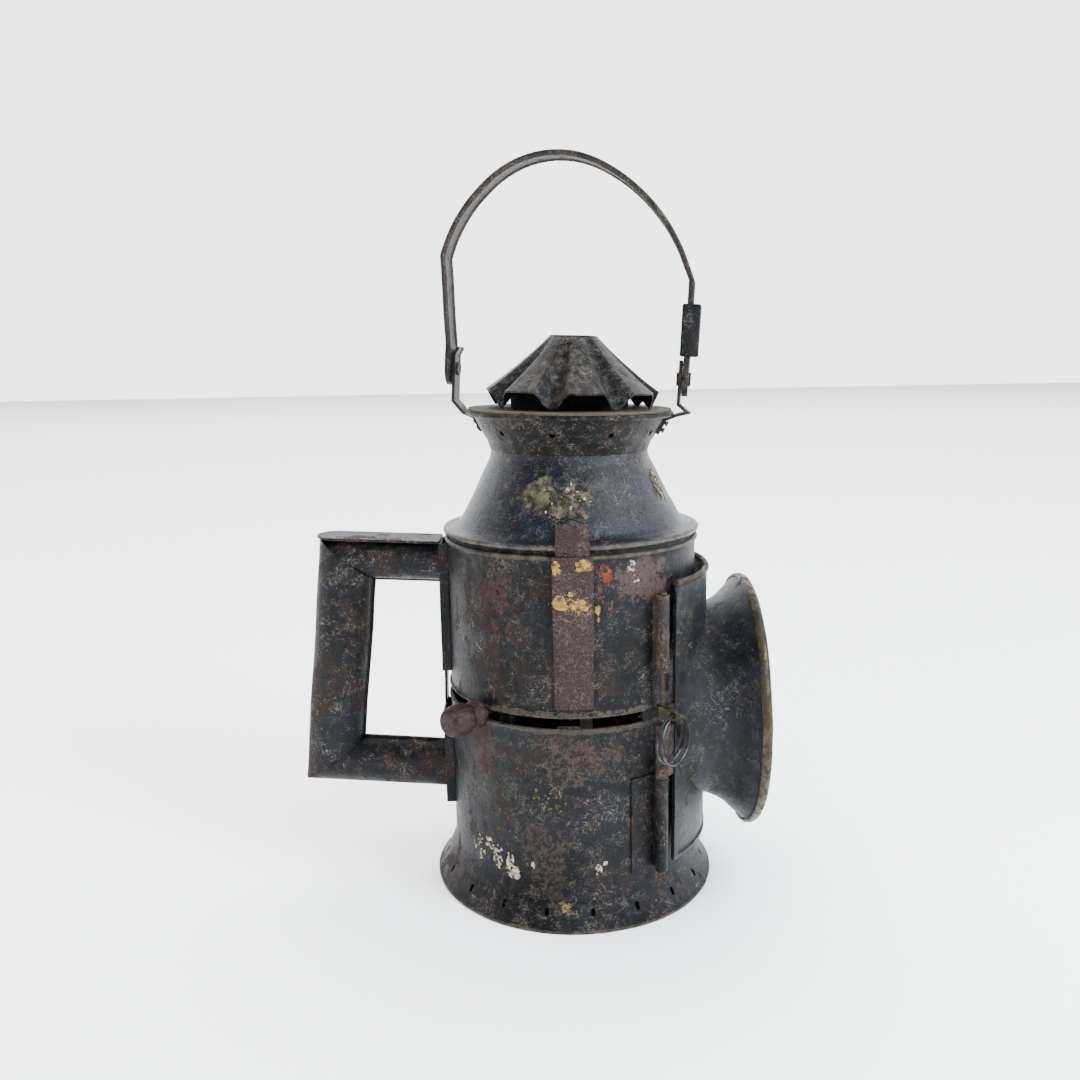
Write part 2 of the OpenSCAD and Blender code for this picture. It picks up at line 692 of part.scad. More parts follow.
module lens_bell() {
    color(black) difference() {
        about_lens() turned() polygon([[throat_r - sheet, body_r - 16], [throat_r, body_r - 16],
            [throat_r, throat_x], [throat_r + 2, throat_x + 5], [throat_r + 4.4, throat_x + 9],
            [throat_r + 8, throat_x + 12.6], [bezel_r - 2.2, bell_mouth_x - 1.4], [bezel_r - 1.6, bell_mouth_x - 0.9],
            [bezel_r - 1.6, bell_mouth_x], [bezel_r - 4.6, bell_mouth_x - 0.6],
            [throat_r + 7.2, throat_x + 13.4], [throat_r + 3.6, throat_x + 9.6],
            [throat_r + 1.2, throat_x + 5.4], [throat_r - 0.8, throat_x]]);
        translate([0, 0, -cut]) cylinder(r = door_r + lap_gap, h = far);
    }
}

module lens_putty() {
    color([0.7, 0.68, 0.58]) about_lens() turned()
        polygon([[bezel_r - 4.4, bell_mouth_x + lap_gap], [bezel_r - 1.8, bell_mouth_x + lap_gap],
            [bezel_r - 1.8, bell_mouth_x + 0.9], [bezel_r - 4.4, bell_mouth_x + 0.9]]);
}

module brass_rim() {
    color(brass) about_lens() turned()
        polygon([[bezel_r - 1.5, bezel_x - bezel_w + 0.4], [bezel_r - 0.9, bezel_x - bezel_w],
            [bezel_r - 0.2, bezel_x - bezel_w + 0.5], [bezel_r, bezel_x - bezel_w + 1.4], [bezel_r, bezel_x - 2],
            [bezel_r - 0.5, bezel_x - 0.8], [bezel_r - 1.6, bezel_x], [bezel_r - 6, bezel_x - 0.2],
            [bezel_r - 6, bezel_x - 1.1], [bezel_r - 1.5, bezel_x - 1.1]]);
}

module bulls_eye_lens() {
    lens_r = bezel_r - 2;
    ball_r = (lens_r * lens_r + lens_bulge * lens_bulge) / (2 * lens_bulge);
    color(clear) about_lens() translate([0, 0, bell_mouth_x + 0.9 + lap_gap]) intersection() {
        union() {
            cylinder(r = lens_r, h = 1.2, $fn = 128);
            translate([0, 0, 1.3]) cylinder(r = bezel_r - 6.3, h = far, $fn = 128);
            translate([0, 0, 1]) cylinder(r = bezel_r - 6.3, h = 1, $fn = 128);
        }
        translate([0, 0, lens_bulge + 1.2 - ball_r]) sphere(r = ball_r, $fn = 128);
    }
}

// Colour drum
module drum_ring(z0, lip_z) {
    turned() {
        translate([drum_r - 1.2, z0]) square([1.2, drum_ring_h]);
        translate([drum_r - 6, lip_z]) square([5.4, 1.2]);
    }
}

module drum_lower_ring() {
    color(dusty) drum_ring(drum_z0, drum_z0);
}

module drum_upper_ring() {
    color(dusty) drum_ring(drum_z1 - drum_ring_h, drum_z1 - 1.2);
}

// The opening for white light faces the lens as the drum stands
clear_az = 90 - 10;
post_h = drum_z1 - drum_z0 - 2.4 - 2 * lap_gap;

module drum_posts() {
    color(dusty) for (k = [-1.5, -0.5, 0.5, 1.5])
        around(clear_az + k * colour_step) translate([drum_r - 3.6, -2.6, drum_z0 + 1.2 + lap_gap])
            cube([2.2, 5.2, post_h]);
    color(dusty) around(knob_az) translate([drum_r - 3.6, -4, drum_z0 + 1.2 + lap_gap]) difference() {
        cube([2.2, 8, post_h]);
        translate([-cut, 4, slot_z - drum_z0 - 1.2 - lap_gap]) rotate([0, 90, 0])
            cylinder(r = stem_r + pin_gap, h = 4, $fn = 48);
    }
}

module colour_pane(az) {
    around(az) intersection() {
        translate([0, -pane_w / 2, drum_z0]) cube([far, pane_w, drum_z1 - drum_z0]);
        pipe(drum_r - 3.8, pane_t, drum_z0 + 1.2 + lap_gap, drum_z1 - 1.2 - lap_gap);
    }
}

module red_glass() color([0.6, 0.05, 0.04, 0.6]) colour_pane(clear_az - colour_step);
module green_glass() color([0.03, 0.35, 0.2, 0.6]) colour_pane(clear_az + colour_step);

module knob_stem() {
    color(dusty) around(knob_az) translate([drum_r - 5, 0, slot_z]) rotate([0, 90, 0]) {
        cylinder(r = stem_r, h = body_r + 12 - drum_r + 5, $fn = 48);
        cylinder(r = stem_r + 1.2, h = 1.2, $fn = 48);
    }
}

module turning_knob() {
    k0 = body_r + 1.4;
    color([0.32, 0.16, 0.13]) around(knob_az) translate([k0, 0, slot_z]) rotate([0, 90, 0]) difference() {
        rotate_extrude($fn = 64) polygon([[0, 0], [knob_r - 1.8, 0], [knob_r - 1, 1], [knob_r - 0.7, 3.2],
            [knob_r - 1.3, 5], [knob_r - 1.8, 6.2], [knob_r - 1.4, 7.4], [knob_r - 0.3, 8.8], [knob_r, 11],
            [knob_r - 0.3, knob_len - 4], [knob_r - 0.9, knob_len - 1.8], [knob_r - 1.8, knob_len - 0.5],
            [knob_r - 2.8, knob_len], [0, knob_len]]);
        translate([0, 0, -cut]) cylinder(r = stem_r + pin_gap, h = cut + 10.7 + pin_gap, $fn = 48);
    }
}

// Hood: cone with its flange, wired rim and spigot
module hood_cone() {
    color(black) difference() {
        turned() {
            polygon([[rim_r, flange_z - 0.8], [rim_r, flange_z], [cone_foot_r, cone_foot_z],
                [waist_r + 9.6, cone_foot_z + 12.7], [waist_r + 4.2, waist_z - 9],
                [waist_r + 1.2, waist_z - 3.2], [waist_r + 0.2, waist_z + 3],
                [waist_r - 0.6, waist_z + 3], [waist_r + 0.4, waist_z - 3.2], [waist_r + 3.4, waist_z - 9.2],
                [waist_r + 8.8, cone_foot_z + 12.3], [cone_foot_r - 0.9, cone_foot_z - 0.8],
                [cone_foot_r + 1, flange_z - 0.8]]);
            translate([rim_r, rim_z]) circle(r = rim_bead_r, $fn = 32);
        }
        collar_frame() translate([0, 0, waist_z]) cylinder(r = far, h = far);
    }
}

// Collar flaring up from the waist, with smoke holes and a wired top
module hood_collar() {
    color(black) difference() {
        collar_frame() translate([0, 0, waist_z + lap_gap]) difference() {
            turned() {
                polygon([[waist_r - 1.6, 0], [waist_r + 0.9, 0], [waist_r + 2.2, 4], [waist_r + 5.6, 9.4],
                    [collar_r - 1.8, collar_h - 2.8], [collar_r + 0.5, collar_h - lap_gap],
                    [collar_r - 1, collar_h - lap_gap], [collar_r - 2.8, collar_h - 2.6], [waist_r + 4.7, 9.6],
                    [waist_r + 1.4, 4.4], [waist_r - 0.2, 0.9], [waist_r - 1.6, 0.9]]);
                translate([collar_r + 0.6, collar_h - 1.2]) circle(r = collar_bead_r, $fn = 32);
            }
            for (i = [0 : collar_holes - 1])
                around(-12 + i * 360 / collar_holes) translate([collar_r - 5.4, 0, collar_h - 8.6])
                    rotate([0, 128, 0]) cylinder(r = collar_hole_r, h = 7, center = true, $fn = 32);
        }
        bail_frame() translate([0, 0, waist_z]) for (s = [-1, 1]) rivet_places(s)
            cylinder(r = rivet_r + pin_gap, h = 4, center = true, $fn = 24);
    }
}

module collar_plate() {
    color(dusty) collar_frame() translate([0, 0, plate_z + lap_gap]) difference() {
        cylinder(r = collar_r + 0.6, h = 0.9);
        translate([0, 0, -cut]) cylinder(r = 24, h = 3);
    }
}

// Fluted cap. Around the cap each flute is a broad petal between two sharp valleys.
cap_rings = 9;
cap_steps = 16;
cap_count = flutes * cap_steps;
cap_t = 0.8;
valley_z = 1.1;

function from_middle(a) = abs((a * flutes / 360) - round(a * flutes / 360)) * 2;
function eased(s) = s * s * (3 - 2 * s);
function fold(a) = eased(min(1, max(0, (from_middle(a) - 0.48) / 0.44)));
function cap_line(t) = 1.18 * t - 0.18 * t * t;
function cap_out(t, a) = [crown_r + (cap_r - crown_r) * t - valley_draw * fold(a) * t,
    cap_h - (cap_h - valley_z - valley_drop) * cap_line(t) - valley_drop * fold(a) * t];
function cap_point(t, a, inset) = [(cap_out(t, a)[0] - inset * 0.4) * sin(a + 7),
    -(cap_out(t, a)[0] - inset * 0.4) * cos(a + 7), cap_out(t, a)[1] - inset];
function cap_layer(t, inset) = [for (k = [0 : cap_count - 1]) cap_point(t, k * 360 / cap_count, inset)];
cap_skins = [for (s = [0, 1]) for (k = [0 : cap_rings])
    let (j = s == 0 ? k : cap_rings - k) each cap_layer(j / cap_rings, s == 0 ? 0 : cap_t)];
cap_faces = [for (j = [0 : 2 * cap_rings + 1], k = [0 : cap_count - 1])
    let (n = cap_count, k2 = (k + 1) % n, j2 = (j + 1) % (2 * cap_rings + 2))
    each [[j * n + k, j * n + k2, j2 * n + k2], [j * n + k, j2 * n + k2, j2 * n + k]]];

module fluted_cap() {
    color(black) collar_frame() translate([1, 0, plate_z + 0.9 + lap_gap]) rotate([0, cap_lean, 0]) {
        polyhedron(points = cap_skins, faces = cap_faces, convexity = 10);
        translate([0, 0, cap_h - cap_t]) cylinder(r = crown_r - 0.05, h = cap_t + 0.3);
    }
}

// Chimney under the collar's plate
module chimney() {
    color(dusty) collar_frame() turned() polygon([[22, waist_z - 24], [22.8, waist_z - 24], [22.8, plate_z - 1],
        [26, plate_z - 1], [26, plate_z - lap_gap], [22.8, plate_z - lap_gap], [22.8, plate_z + 10],
        [22, plate_z + 10]]);
}

// A strap from the cone over the rim, used for the tongue and the rear hinge
module rim_strap(foot_z, w) {
    intersection() {
        turned() polygon([[waist_r + 13.27, cone_foot_z + 6], [waist_r + 14.2, cone_foot_z + 6.4],
            [cone_foot_r + 1.4, cone_foot_z + 1.6], [tongue_in_r - 0.6, flange_z + 1.6],
            [tongue_in_r + tongue_t, flange_z + 0.6], [tongue_in_r + tongue_t, foot_z],
            [tongue_in_r, foot_z], [tongue_in_r, flange_z], [cone_foot_r + 1, cone_foot_z + 0.5]]);
        translate([0, -w / 2, 0]) cube([far, w, far]);
    }
}

module latch_tongue() {
    color(rust) around(strap_az) rim_strap(tongue_foot_z, tongue_w);
}

module hood_hinge_strap() {
    color(rust) around(180) difference() {
        union() {
            rim_strap(hood_axis_z, 9.6);
            translate([hood_axis_r, 0, hood_axis_z]) rotate([90, 0, 0])
                cylinder(r = hood_knuckle_r, h = 9.6, center = true, $fn = 48);
        }
        translate([hood_axis_r, 0, hood_axis_z]) rotate([90, 0, 0])
            cylinder(r = pin_r + pin_gap, h = far, center = true, $fn = 48);
    }
}

// Ears: straps riveted to the collar that carry the bail
ear_t = 1.4;
rivet_r = 0.9;
ear_face = [-54.6, 48.7];
ear_bulge = [0, 4.4];
ear_tip = [1.8, 0.1];

// A point of the collar's outline, as distance out and height, in the frame of the bail
function on_collar(s, p) = let (a = s * (top_lean - collar_lean) * cos(bail_turn))
    [p[0] * cos(a) - p[1] * sin(a), p[0] * sin(a) + p[1] * cos(a)];
function flare_top(s) = on_collar(s, [collar_r - 1.8, collar_h - 2.8]);
function flare_foot(s) = on_collar(s, [waist_r + 5.6, 9.4]);
function flare_dir(s) = (flare_top(s) - flare_foot(s)) / norm(flare_top(s) - flare_foot(s));
function flare_out(s) = [flare_dir(s)[1], -flare_dir(s)[0]];

module rivet_places(s) {
    for (share = [0.06, 0.62]) {
        at = flare_foot(s) + (flare_top(s) - flare_foot(s)) * share;
        translate([s * at[0], 0, at[1]])
            rotate([0, s * (180 - atan2(flare_dir(s)[1], flare_dir(s)[0])), 0]) children();
    }
}

// A bent strip seen from its edge, mitred at its bends
function way(p, i) = (p[i + 1] - p[i]) / norm(p[i + 1] - p[i]);
function normal(d) = [-d[1], d[0]];
function bend(p, i) = let (a = normal(way(p, max(i - 1, 0))), b = normal(way(p, min(i, len(p) - 2))))
    (a + b) / (1 + a * b);

module strip_path(p, t) {
    n = len(p);
    polygon([each [for (i = [0 : n - 1]) p[i] + bend(p, i) * t / 2],
        each [for (i = [n - 1 : -1 : 0]) p[i] - bend(p, i) * t / 2]]);
}

// Path of an ear, as distance out and height above the waist. Its tip on the grip's side is bent in.
ear_end = [9.6, 8.2];
function ear_path(k) = let (s = k == 0 ? -1 : 1, face = abs(ear_face[k]) - ear_t / 2)
    [[face - ear_tip[k], pivot_h + ear_end[k]], [face, pivot_h + 6.4], [face, pivot_h - 11],
    [face + ear_bulge[k], pivot_h - 14.4],
    on_collar(s, [collar_r + 3.2, collar_h - 1.6]),
    flare_top(s) + flare_out(s) * (ear_t / 2 - 0.4) - flare_dir(s) * 0.8,
    flare_foot(s) + flare_out(s) * (ear_t / 2 - 0.4) - flare_dir(s) * 2];

// The space that the collar fills, with a lap's gap round it
module collar_space() {
    top = [collar_r - 1.8, collar_h - 2.8];
    foot = [waist_r + 5.6, 9.4];
    along = (top - foot) / norm(top - foot);
    out = [along[1], -along[0]] * lap_gap;
    collar_frame() translate([0, 0, waist_z + lap_gap]) turned() {
        polygon([[0, 0], [waist_r + 0.95, 0], [waist_r + 2.25, 4], foot + out, top + out + along * 0.6,
            [0, collar_h - 2.2]]);
        translate([collar_r + 0.6, collar_h - 1.2]) circle(r = collar_bead_r + lap_gap, $fn = 32);
    }
}

module ear(k) {
    s = k == 0 ? -1 : 1;
    difference() {
        bail_frame() translate([0, 0, waist_z]) difference() {
            mirror([k == 0 ? 1 : 0, 0, 0]) rotate([90, 0, 0]) translate([0, 0, -ear_w / 2])
                linear_extrude(ear_w) strip_path(ear_path(k), ear_t);
            translate([s * abs(ear_face[k]), 0, pivot_h]) rotate([0, 90, 0])
                cylinder(r = pivot_r + pin_gap, h = 8, center = true, $fn = 48);
            rivet_places(s) cylinder(r = rivet_r + pin_gap, h = 6, center = true, $fn = 24);
        }
        collar_space();
    }
}

module ear_grip_side() color(dusty) ear(0);
module ear_lens_side() color(dusty) ear(1);

module ear_rivets() {
    color(dusty) bail_frame() translate([0, 0, waist_z]) for (s = [-1, 1]) rivet_places(s) {
        translate([0, 0, -1.8]) cylinder(r = rivet_r, h = 3.4, $fn = 24);
        translate([0, 0, -2]) cylinder(r = rivet_r + 0.6, h = 0.8, $fn = 24);
        translate([0, 0, ear_t + 2 * lap_gap]) cylinder(r1 = rivet_r + 0.6, r2 = rivet_r, h = 0.9, $fn = 24);
    }
}

// Bail: two legs and a bow of three arcs, drawn in its own plane
leg_out = [-57.5, 51.7];
kink_z = 285.5 - 202.5;
bow_mid = [-10.1, 285.5 - 202.5];
bow_a = [65.5, 130.9];
shoulder_grip = bow_mid + (bow_r - bow_grip_r) * [cos(bow_a[1]), sin(bow_a[1])];
shoulder_lens = bow_mid + (bow_r - bow_lens_r) * [cos(bow_a[0]), sin(bow_a[0])];
grip_end_a = 180 - asin((kink_z - shoulder_grip[1]) / bow_grip_r);
lens_end_a = asin((kink_z - shoulder_lens[1]) / bow_lens_r);
kink_grip = shoulder_grip + bow_grip_r * [cos(grip_end_a), sin(grip_end_a)];
kink_lens = shoulder_lens + bow_lens_r * [cos(lens_end_a), sin(lens_end_a)];

bow_steps = 12;
function arc(mid, r, a0, a1) = [for (k = [0 : bow_steps]) let (a = a0 + (a1 - a0) * k / bow_steps)
    mid + r * [cos(a), sin(a)]];

// One face of the bail, from the foot of the grip's leg over the bow to the other foot
function bail_face(inset) = [[leg_out[0] + inset, 0], [leg_out[0] + inset, pivot_h + 9],
    each arc(shoulder_grip, bow_grip_r - inset, grip_end_a, bow_a[1]),
    each arc(bow_mid, bow_r - inset, bow_a[1] - 2, bow_a[0] + 2),
    each arc(shoulder_lens, bow_lens_r - inset, bow_a[0], lens_end_a),
    [leg_out[1] - inset, pivot_h + 42], [leg_out[1] - inset, 0]];

module bail_outline() {
    inner = bail_face(bail_t);
    polygon([each bail_face(0), each [for (k = [len(inner) - 1 : -1 : 0]) inner[k]]]);
}

module bail() {
    color(rust) bail_frame() translate([0, 0, waist_z]) difference() {
        intersection() {
            rotate([90, 0, 0]) translate([0, 0, -bail_w / 2]) linear_extrude(bail_w) bail_outline();
            union() {
                translate([-far / 2, -far / 2, pivot_h]) cube(far);
                translate([0, 0, pivot_h]) rotate([0, 90, 0]) cylinder(r = bail_w / 2, h = far, center = true);
            }
        }
        translate([0, 0, pivot_h]) rotate([0, 90, 0]) cylinder(r = pivot_r + pin_gap, h = far, center = true, $fn = 48);
    }
}

module bail_pivots() {
    color(dusty) bail_frame() translate([0, 0, pivot_z]) for (s = [0, 1]) {
        out = s == 0 ? -1 : 1;
        span = abs(leg_out[s]) - abs(ear_face[s]) + ear_t;
        translate([out * (abs(ear_face[s]) - ear_t), 0, 0]) rotate([0, out * 90, 0]) {
            translate([0, 0, -0.9]) cylinder(r = pivot_r + 1.4, h = 0.9 - lap_gap, $fn = 48);
            translate([0, 0, -0.5]) cylinder(r = pivot_r, h = span + 1, $fn = 48);
            translate([0, 0, span + lap_gap]) cylinder(r = pivot_r + 1.4, h = 0.9, $fn = 48);
        }
    }
}

// Sleeve that slides on the lens-side leg
module lock_sleeve() {
    wall = 1.6;
    x0 = leg_out[1] - bail_t - run_gap;
    x1 = leg_out[1] + run_gap;
    color(black) bail_frame() translate([0, 0, pivot_z + 9.8]) difference() {
        translate([x0 - wall, -bail_w / 2 - run_gap - wall, 0])
            cube([x1 - x0 + 2 * wall + 1.6, bail_w + 2 * run_gap + 2 * wall, sleeve_len]);
        translate([x0, -bail_w / 2 - run_gap, -cut]) cube([x1 - x0, bail_w + 2 * run_gap, far]);
    }
}

base_skirt();
bottom_plate();
body_shell();
latch_pocket();
grip_tube();
grip_upper_arm();
grip_lower_arm();
grip_top_plate();
grip_back_strip();
upper_hinge_barrel();
lower_hinge_barrel();
upper_hinge_pin();
lower_hinge_pin();
door_keeper();
drum_ledge();
rear_hinge_leaf();
rear_hinge_pin();
oil_font();
filler_cap();
burner();
wick_tube();
reflector();
reflector_post();
wick_spindle();
wick_key();
wick();
door_panel();
door_wired_edge();
door_barrel();
door_eye();
lens_bell();
lens_putty();
brass_rim();
bulls_eye_lens();
door_catch();
pull_ring();
drum_lower_ring();
drum_upper_ring();
drum_posts();
red_glass();
green_glass();
knob_stem();
turning_knob();
hood_cone();
hood_collar();
collar_plate();
fluted_cap();
chimney();
latch_tongue();
hood_hinge_strap();
ear_grip_side();
ear_lens_side();
ear_rivets();
bail();
bail_pivots();
lock_sleeve();
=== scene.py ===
"""Old railway hand signal lamp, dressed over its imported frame.

The lamp is black japanned sheet metal, worn and rusted. Each finish is a small class that
mixes a procedural material, and each sub-assembly is a class that dresses its CAD nodes and
builds the pieces that a plain solid leaves out. Lengths are in millimetres and are turned
into metres where a mesh is made.
"""

import json
import logging
import math
from dataclasses import dataclass
from enum import Enum
from typing import Callable, Optional, Sequence

import bmesh
import bpy
from bmesh.types import BMEdge, BMesh, BMVert
from mathutils import Matrix, Vector, noise

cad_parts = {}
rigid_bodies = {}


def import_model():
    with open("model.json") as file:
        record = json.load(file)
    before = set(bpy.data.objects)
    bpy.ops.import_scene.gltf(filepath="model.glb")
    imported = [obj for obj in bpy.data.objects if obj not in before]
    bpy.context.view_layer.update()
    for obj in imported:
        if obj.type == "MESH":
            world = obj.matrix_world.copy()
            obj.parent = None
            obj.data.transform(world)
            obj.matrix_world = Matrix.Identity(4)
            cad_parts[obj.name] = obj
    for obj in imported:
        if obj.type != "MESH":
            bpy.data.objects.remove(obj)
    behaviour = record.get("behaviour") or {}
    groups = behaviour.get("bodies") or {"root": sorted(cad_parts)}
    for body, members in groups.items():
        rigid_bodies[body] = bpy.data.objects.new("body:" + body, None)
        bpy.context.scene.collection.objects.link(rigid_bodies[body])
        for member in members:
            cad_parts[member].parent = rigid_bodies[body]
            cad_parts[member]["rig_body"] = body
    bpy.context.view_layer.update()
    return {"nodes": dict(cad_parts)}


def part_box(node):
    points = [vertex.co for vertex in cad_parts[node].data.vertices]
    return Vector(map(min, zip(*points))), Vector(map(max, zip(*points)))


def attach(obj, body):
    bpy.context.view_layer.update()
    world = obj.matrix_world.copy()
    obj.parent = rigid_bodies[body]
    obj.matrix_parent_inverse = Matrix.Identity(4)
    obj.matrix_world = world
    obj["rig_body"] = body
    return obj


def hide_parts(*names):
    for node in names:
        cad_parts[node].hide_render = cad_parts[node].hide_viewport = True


log = logging.getLogger("lamp")
logging.basicConfig(level=logging.INFO, format="%(message)s")

MM = 0.001
Colour = tuple[float, float, float]
Point = tuple[float, float, float]
Socket = bpy.types.NodeSocket

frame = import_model()


# Frame of the lamp


def around(azimuth: float) -> Matrix:
    """Return the turn that carries +X to an azimuth, counted from the front towards the lens."""
    return Matrix.Rotation(math.radians(azimuth - 90), 4, "Z")


def on_drum(radius: float, azimuth: float, height: float) -> Vector:
    """Return a point, in millimetres, on an upright drum about the lamp's axis."""
    a = math.radians(azimuth)
    return Vector((radius * math.sin(a), -radius * math.cos(a), height))


WAIST_Z = 202.5
LEAN = (
    Matrix.Translation((0, 0, WAIST_Z))
    @ Matrix.Rotation(math.radians(3.5), 4, "Y")
    @ Matrix.Translation((0, 0, -WAIST_Z))
)
BAIL_FRAME = LEAN @ Matrix.Rotation(math.radians(-10), 4, "Z")


# Finishes


def shaded(colour: Colour, share: float) -> Colour:
    """Return a colour made darker or lighter by a share."""
    return tuple(share * c for c in colour)


class Wiring:
    """Plain words for the nodes that every node tree here uses."""

    def __init__(self, tree: bpy.types.NodeTree) -> None:
        """Take the tree to build in."""
        self.tree = tree

    def feed(self, target: Socket, value: object) -> None:
        """Give a socket a constant or a link.

        Args:
            target: The socket to fill.
            value: A number, a colour or another socket.
        """
        if isinstance(value, Socket):
            self.tree.links.new(value, target)
        elif isinstance(value, tuple) and len(value) == 3 and target.type == "RGBA":
            target.default_value = (*value, 1.0)
        else:
            target.default_value = value

    def fill(self, node: bpy.types.Node, **inputs: object) -> bpy.types.Node:
        """Fill a node's inputs.

        Args:
            node: The node.
            **inputs: Its values by name, with underscores for spaces.

        Returns:
            The node.
        """
        for name, value in inputs.items():
            self.feed(node.inputs[name.replace("_", " ")], value)
        return node

    def add(self, kind: str, **inputs: object) -> bpy.types.Node:
        """Return a new shader node of a kind, with its inputs filled."""
        return self.fill(self.tree.nodes.new("ShaderNode" + kind), **inputs)

    def span(
        self, value: Socket, low: float, high: float, to_low: float = 0.0, to_high: float = 1.0
    ) -> Socket:
        """Return a value's smooth place between two limits.

        Args:
            value: The socket to read.
            low: Where the result is to_low.
            high: Where the result is to_high.
            to_low: Result at and before low.
            to_high: Result at and after high.

        Returns:
            The result's socket.
        """
        limits = {"From_Min": low, "From_Max": high, "To_Min": to_low, "To_Max": to_high}
        node = self.add("MapRange", Value=value, **limits)
        node.interpolation_type = "SMOOTHSTEP"
        return node.outputs["Result"]

    def calc(self, kind: str, a: object, b: object = 0.0, clamp: bool = False) -> Socket:
        """Return the result of a Math node.

        Args:
            kind: The node's operation.
            a: Its first value or socket.
            b: Its second value or socket, where the operation has one.
            clamp: Whether the result is kept between 0 and 1.

        Returns:
            The result's socket.
        """
        node = self.add("Math")
        node.operation = kind
        node.use_clamp = clamp
        self.feed(node.inputs[0], a)
        self.feed(node.inputs[1], b)
        return node.outputs[0]

    def axis(self, where: Socket, name: str) -> Socket:
        """Return one axis of some coordinates."""
        return self.add("SeparateXYZ", Vector=where).outputs[name]


class Recipe(Wiring):
    """A material's node tree, built step by step."""

    def __init__(self, name: str) -> None:
        """Start an empty material.

        Args:
            name: The material's name.
        """
        self.material = bpy.data.materials.new(name)
        self.material.use_nodes = True
        super().__init__(self.material.node_tree)
        self.shader = self.tree.nodes["Principled BSDF"]
        self.coords = self.add("TexCoord").outputs["Object"]

    def place(self, where: Optional[Socket] = None, **values: Point) -> Socket:
        """Return coordinates moved by a Mapping node's Scale, Rotation and Location."""
        return self.add("Mapping", Vector=where or self.coords, **values).outputs["Vector"]

    def grain(
        self,
        scale: float,
        detail: float = 4.0,
        rough: float = 0.55,
        where: Optional[Socket] = None,
        twist: float = 0.0,
    ) -> Socket:
        """Return a cloudy pattern between 0 and 1, with scale in lumps per metre."""
        values = {"Scale": scale, "Detail": detail, "Roughness": rough, "Distortion": twist}
        return self.add("TexNoise", Vector=where or self.coords, **values).outputs["Fac"]

    def cells(self, scale: float) -> Socket:
        """Return the distance to the nearest of a scatter of points."""
        return self.add("TexVoronoi", Vector=self.coords, Scale=scale).outputs["Distance"]

    def times(self, a: object, b: object) -> Socket:
        """Return the product of two masks."""
        return self.calc("MULTIPLY", a, b, clamp=True)

    def plus(self, a: object, b: object) -> Socket:
        """Return the sum of two masks, at most 1."""
        return self.calc("ADD", a, b, clamp=True)

    def layers(self, a: Socket, b: Socket, share: float) -> Socket:
        """Return two patterns added by weight, with the first one's share of the whole."""
        return self.plus(self.times(a, share), self.times(b, 1 - share))

    def blend(self, mask: object, under: object, over: object) -> Socket:
        """Return one colour laid over another.

        Args:
            mask: How much of the upper colour shows.
            under: The lower colour.
            over: The upper colour.

        Returns:
            The mixed colour's socket.
        """
        node = self.add("Mix")
        node.data_type = "RGBA"
        self.feed(node.inputs[0], mask)
        self.feed(node.inputs[6], under)
        self.feed(node.inputs[7], over)
        return node.outputs[2]

    def band(self, level: float, half: float) -> Socket:
        """Return a mask that is 1 near a height, with its half width, in millimetres."""
        away = self.calc("ABSOLUTE", self.calc("ADD", self.axis(self.coords, "Z"), -level * MM))
        return self.span(away, half * MM, half * 0.3 * MM)

    def relief(self, height: Socket, depth: float, under: Optional[Socket] = None) -> Socket:
        """Return a bumped normal.

        Args:
            height: The pattern to raise.
            depth: Depth of the relief, in millimetres.
            under: A normal that this one is laid over.

        Returns:
            The normal's socket.
        """
        node = self.add("Bump", Distance=depth * MM, Strength=1.0, Height=height)
        if under is not None:
            self.fill(node, Normal=under)
        return node.outputs["Normal"]

    def set(self, **sockets: object) -> None:
        """Fill the shader's sockets."""
        self.fill(self.shader, **sockets)


SPECK: Colour = (0.17, 0.155, 0.13)
HAIRLINE: Colour = (0.115, 0.100, 0.080)
BRAZE: Colour = (0.30, 0.20, 0.075)
OCHRE: Colour = (0.17, 0.12, 0.045)
SLOT_WEAR: Colour = (0.060, 0.048, 0.036)


@dataclass(frozen=True)
class Mark:
    """One worn or stained spot that belongs to a place.

    Attributes:
        place: Its middle, in millimetres.
        reach: Its half widths, in millimetres.
        colour: Its colour.
        ragged: How far its edge wanders.
        share: How solid the colour is.
        broken: Share of the spot that is flaked away.
    """

    place: Point
    reach: Point
    colour: Colour
    ragged: float = 0.5
    share: float = 0.9
    broken: float = 0.0

    def mask(self, mix: Recipe, flakes: Socket) -> Socket:
        """Return how much of the mark shows.

        Args:
            mix: The recipe to build in.
            flakes: The pattern that breaks it.

        Returns:
            The mask's socket.
        """
        inverse = tuple(1 / (r * MM) for r in self.reach)
        shift = tuple(-p * MM * s for p, s in zip(self.place, inverse))
        length = mix.add("VectorMath")
        length.operation = "LENGTH"
        mix.feed(length.inputs[0], mix.place(Scale=inverse, Location=shift))
        wander = mix.span(mix.grain(160, 6, 0.65), 0.25, 0.75, -self.ragged, self.ragged)
        mask = mix.span(mix.calc("ADD", length.outputs["Value"], wander), 1.05, 0.9)
        if self.broken > 0:
            line = 0.38 + 0.24 * self.broken
            mask = mix.times(mask, mix.span(flakes, line - 0.02, line + 0.03))
        return mix.times(mask, self.share)


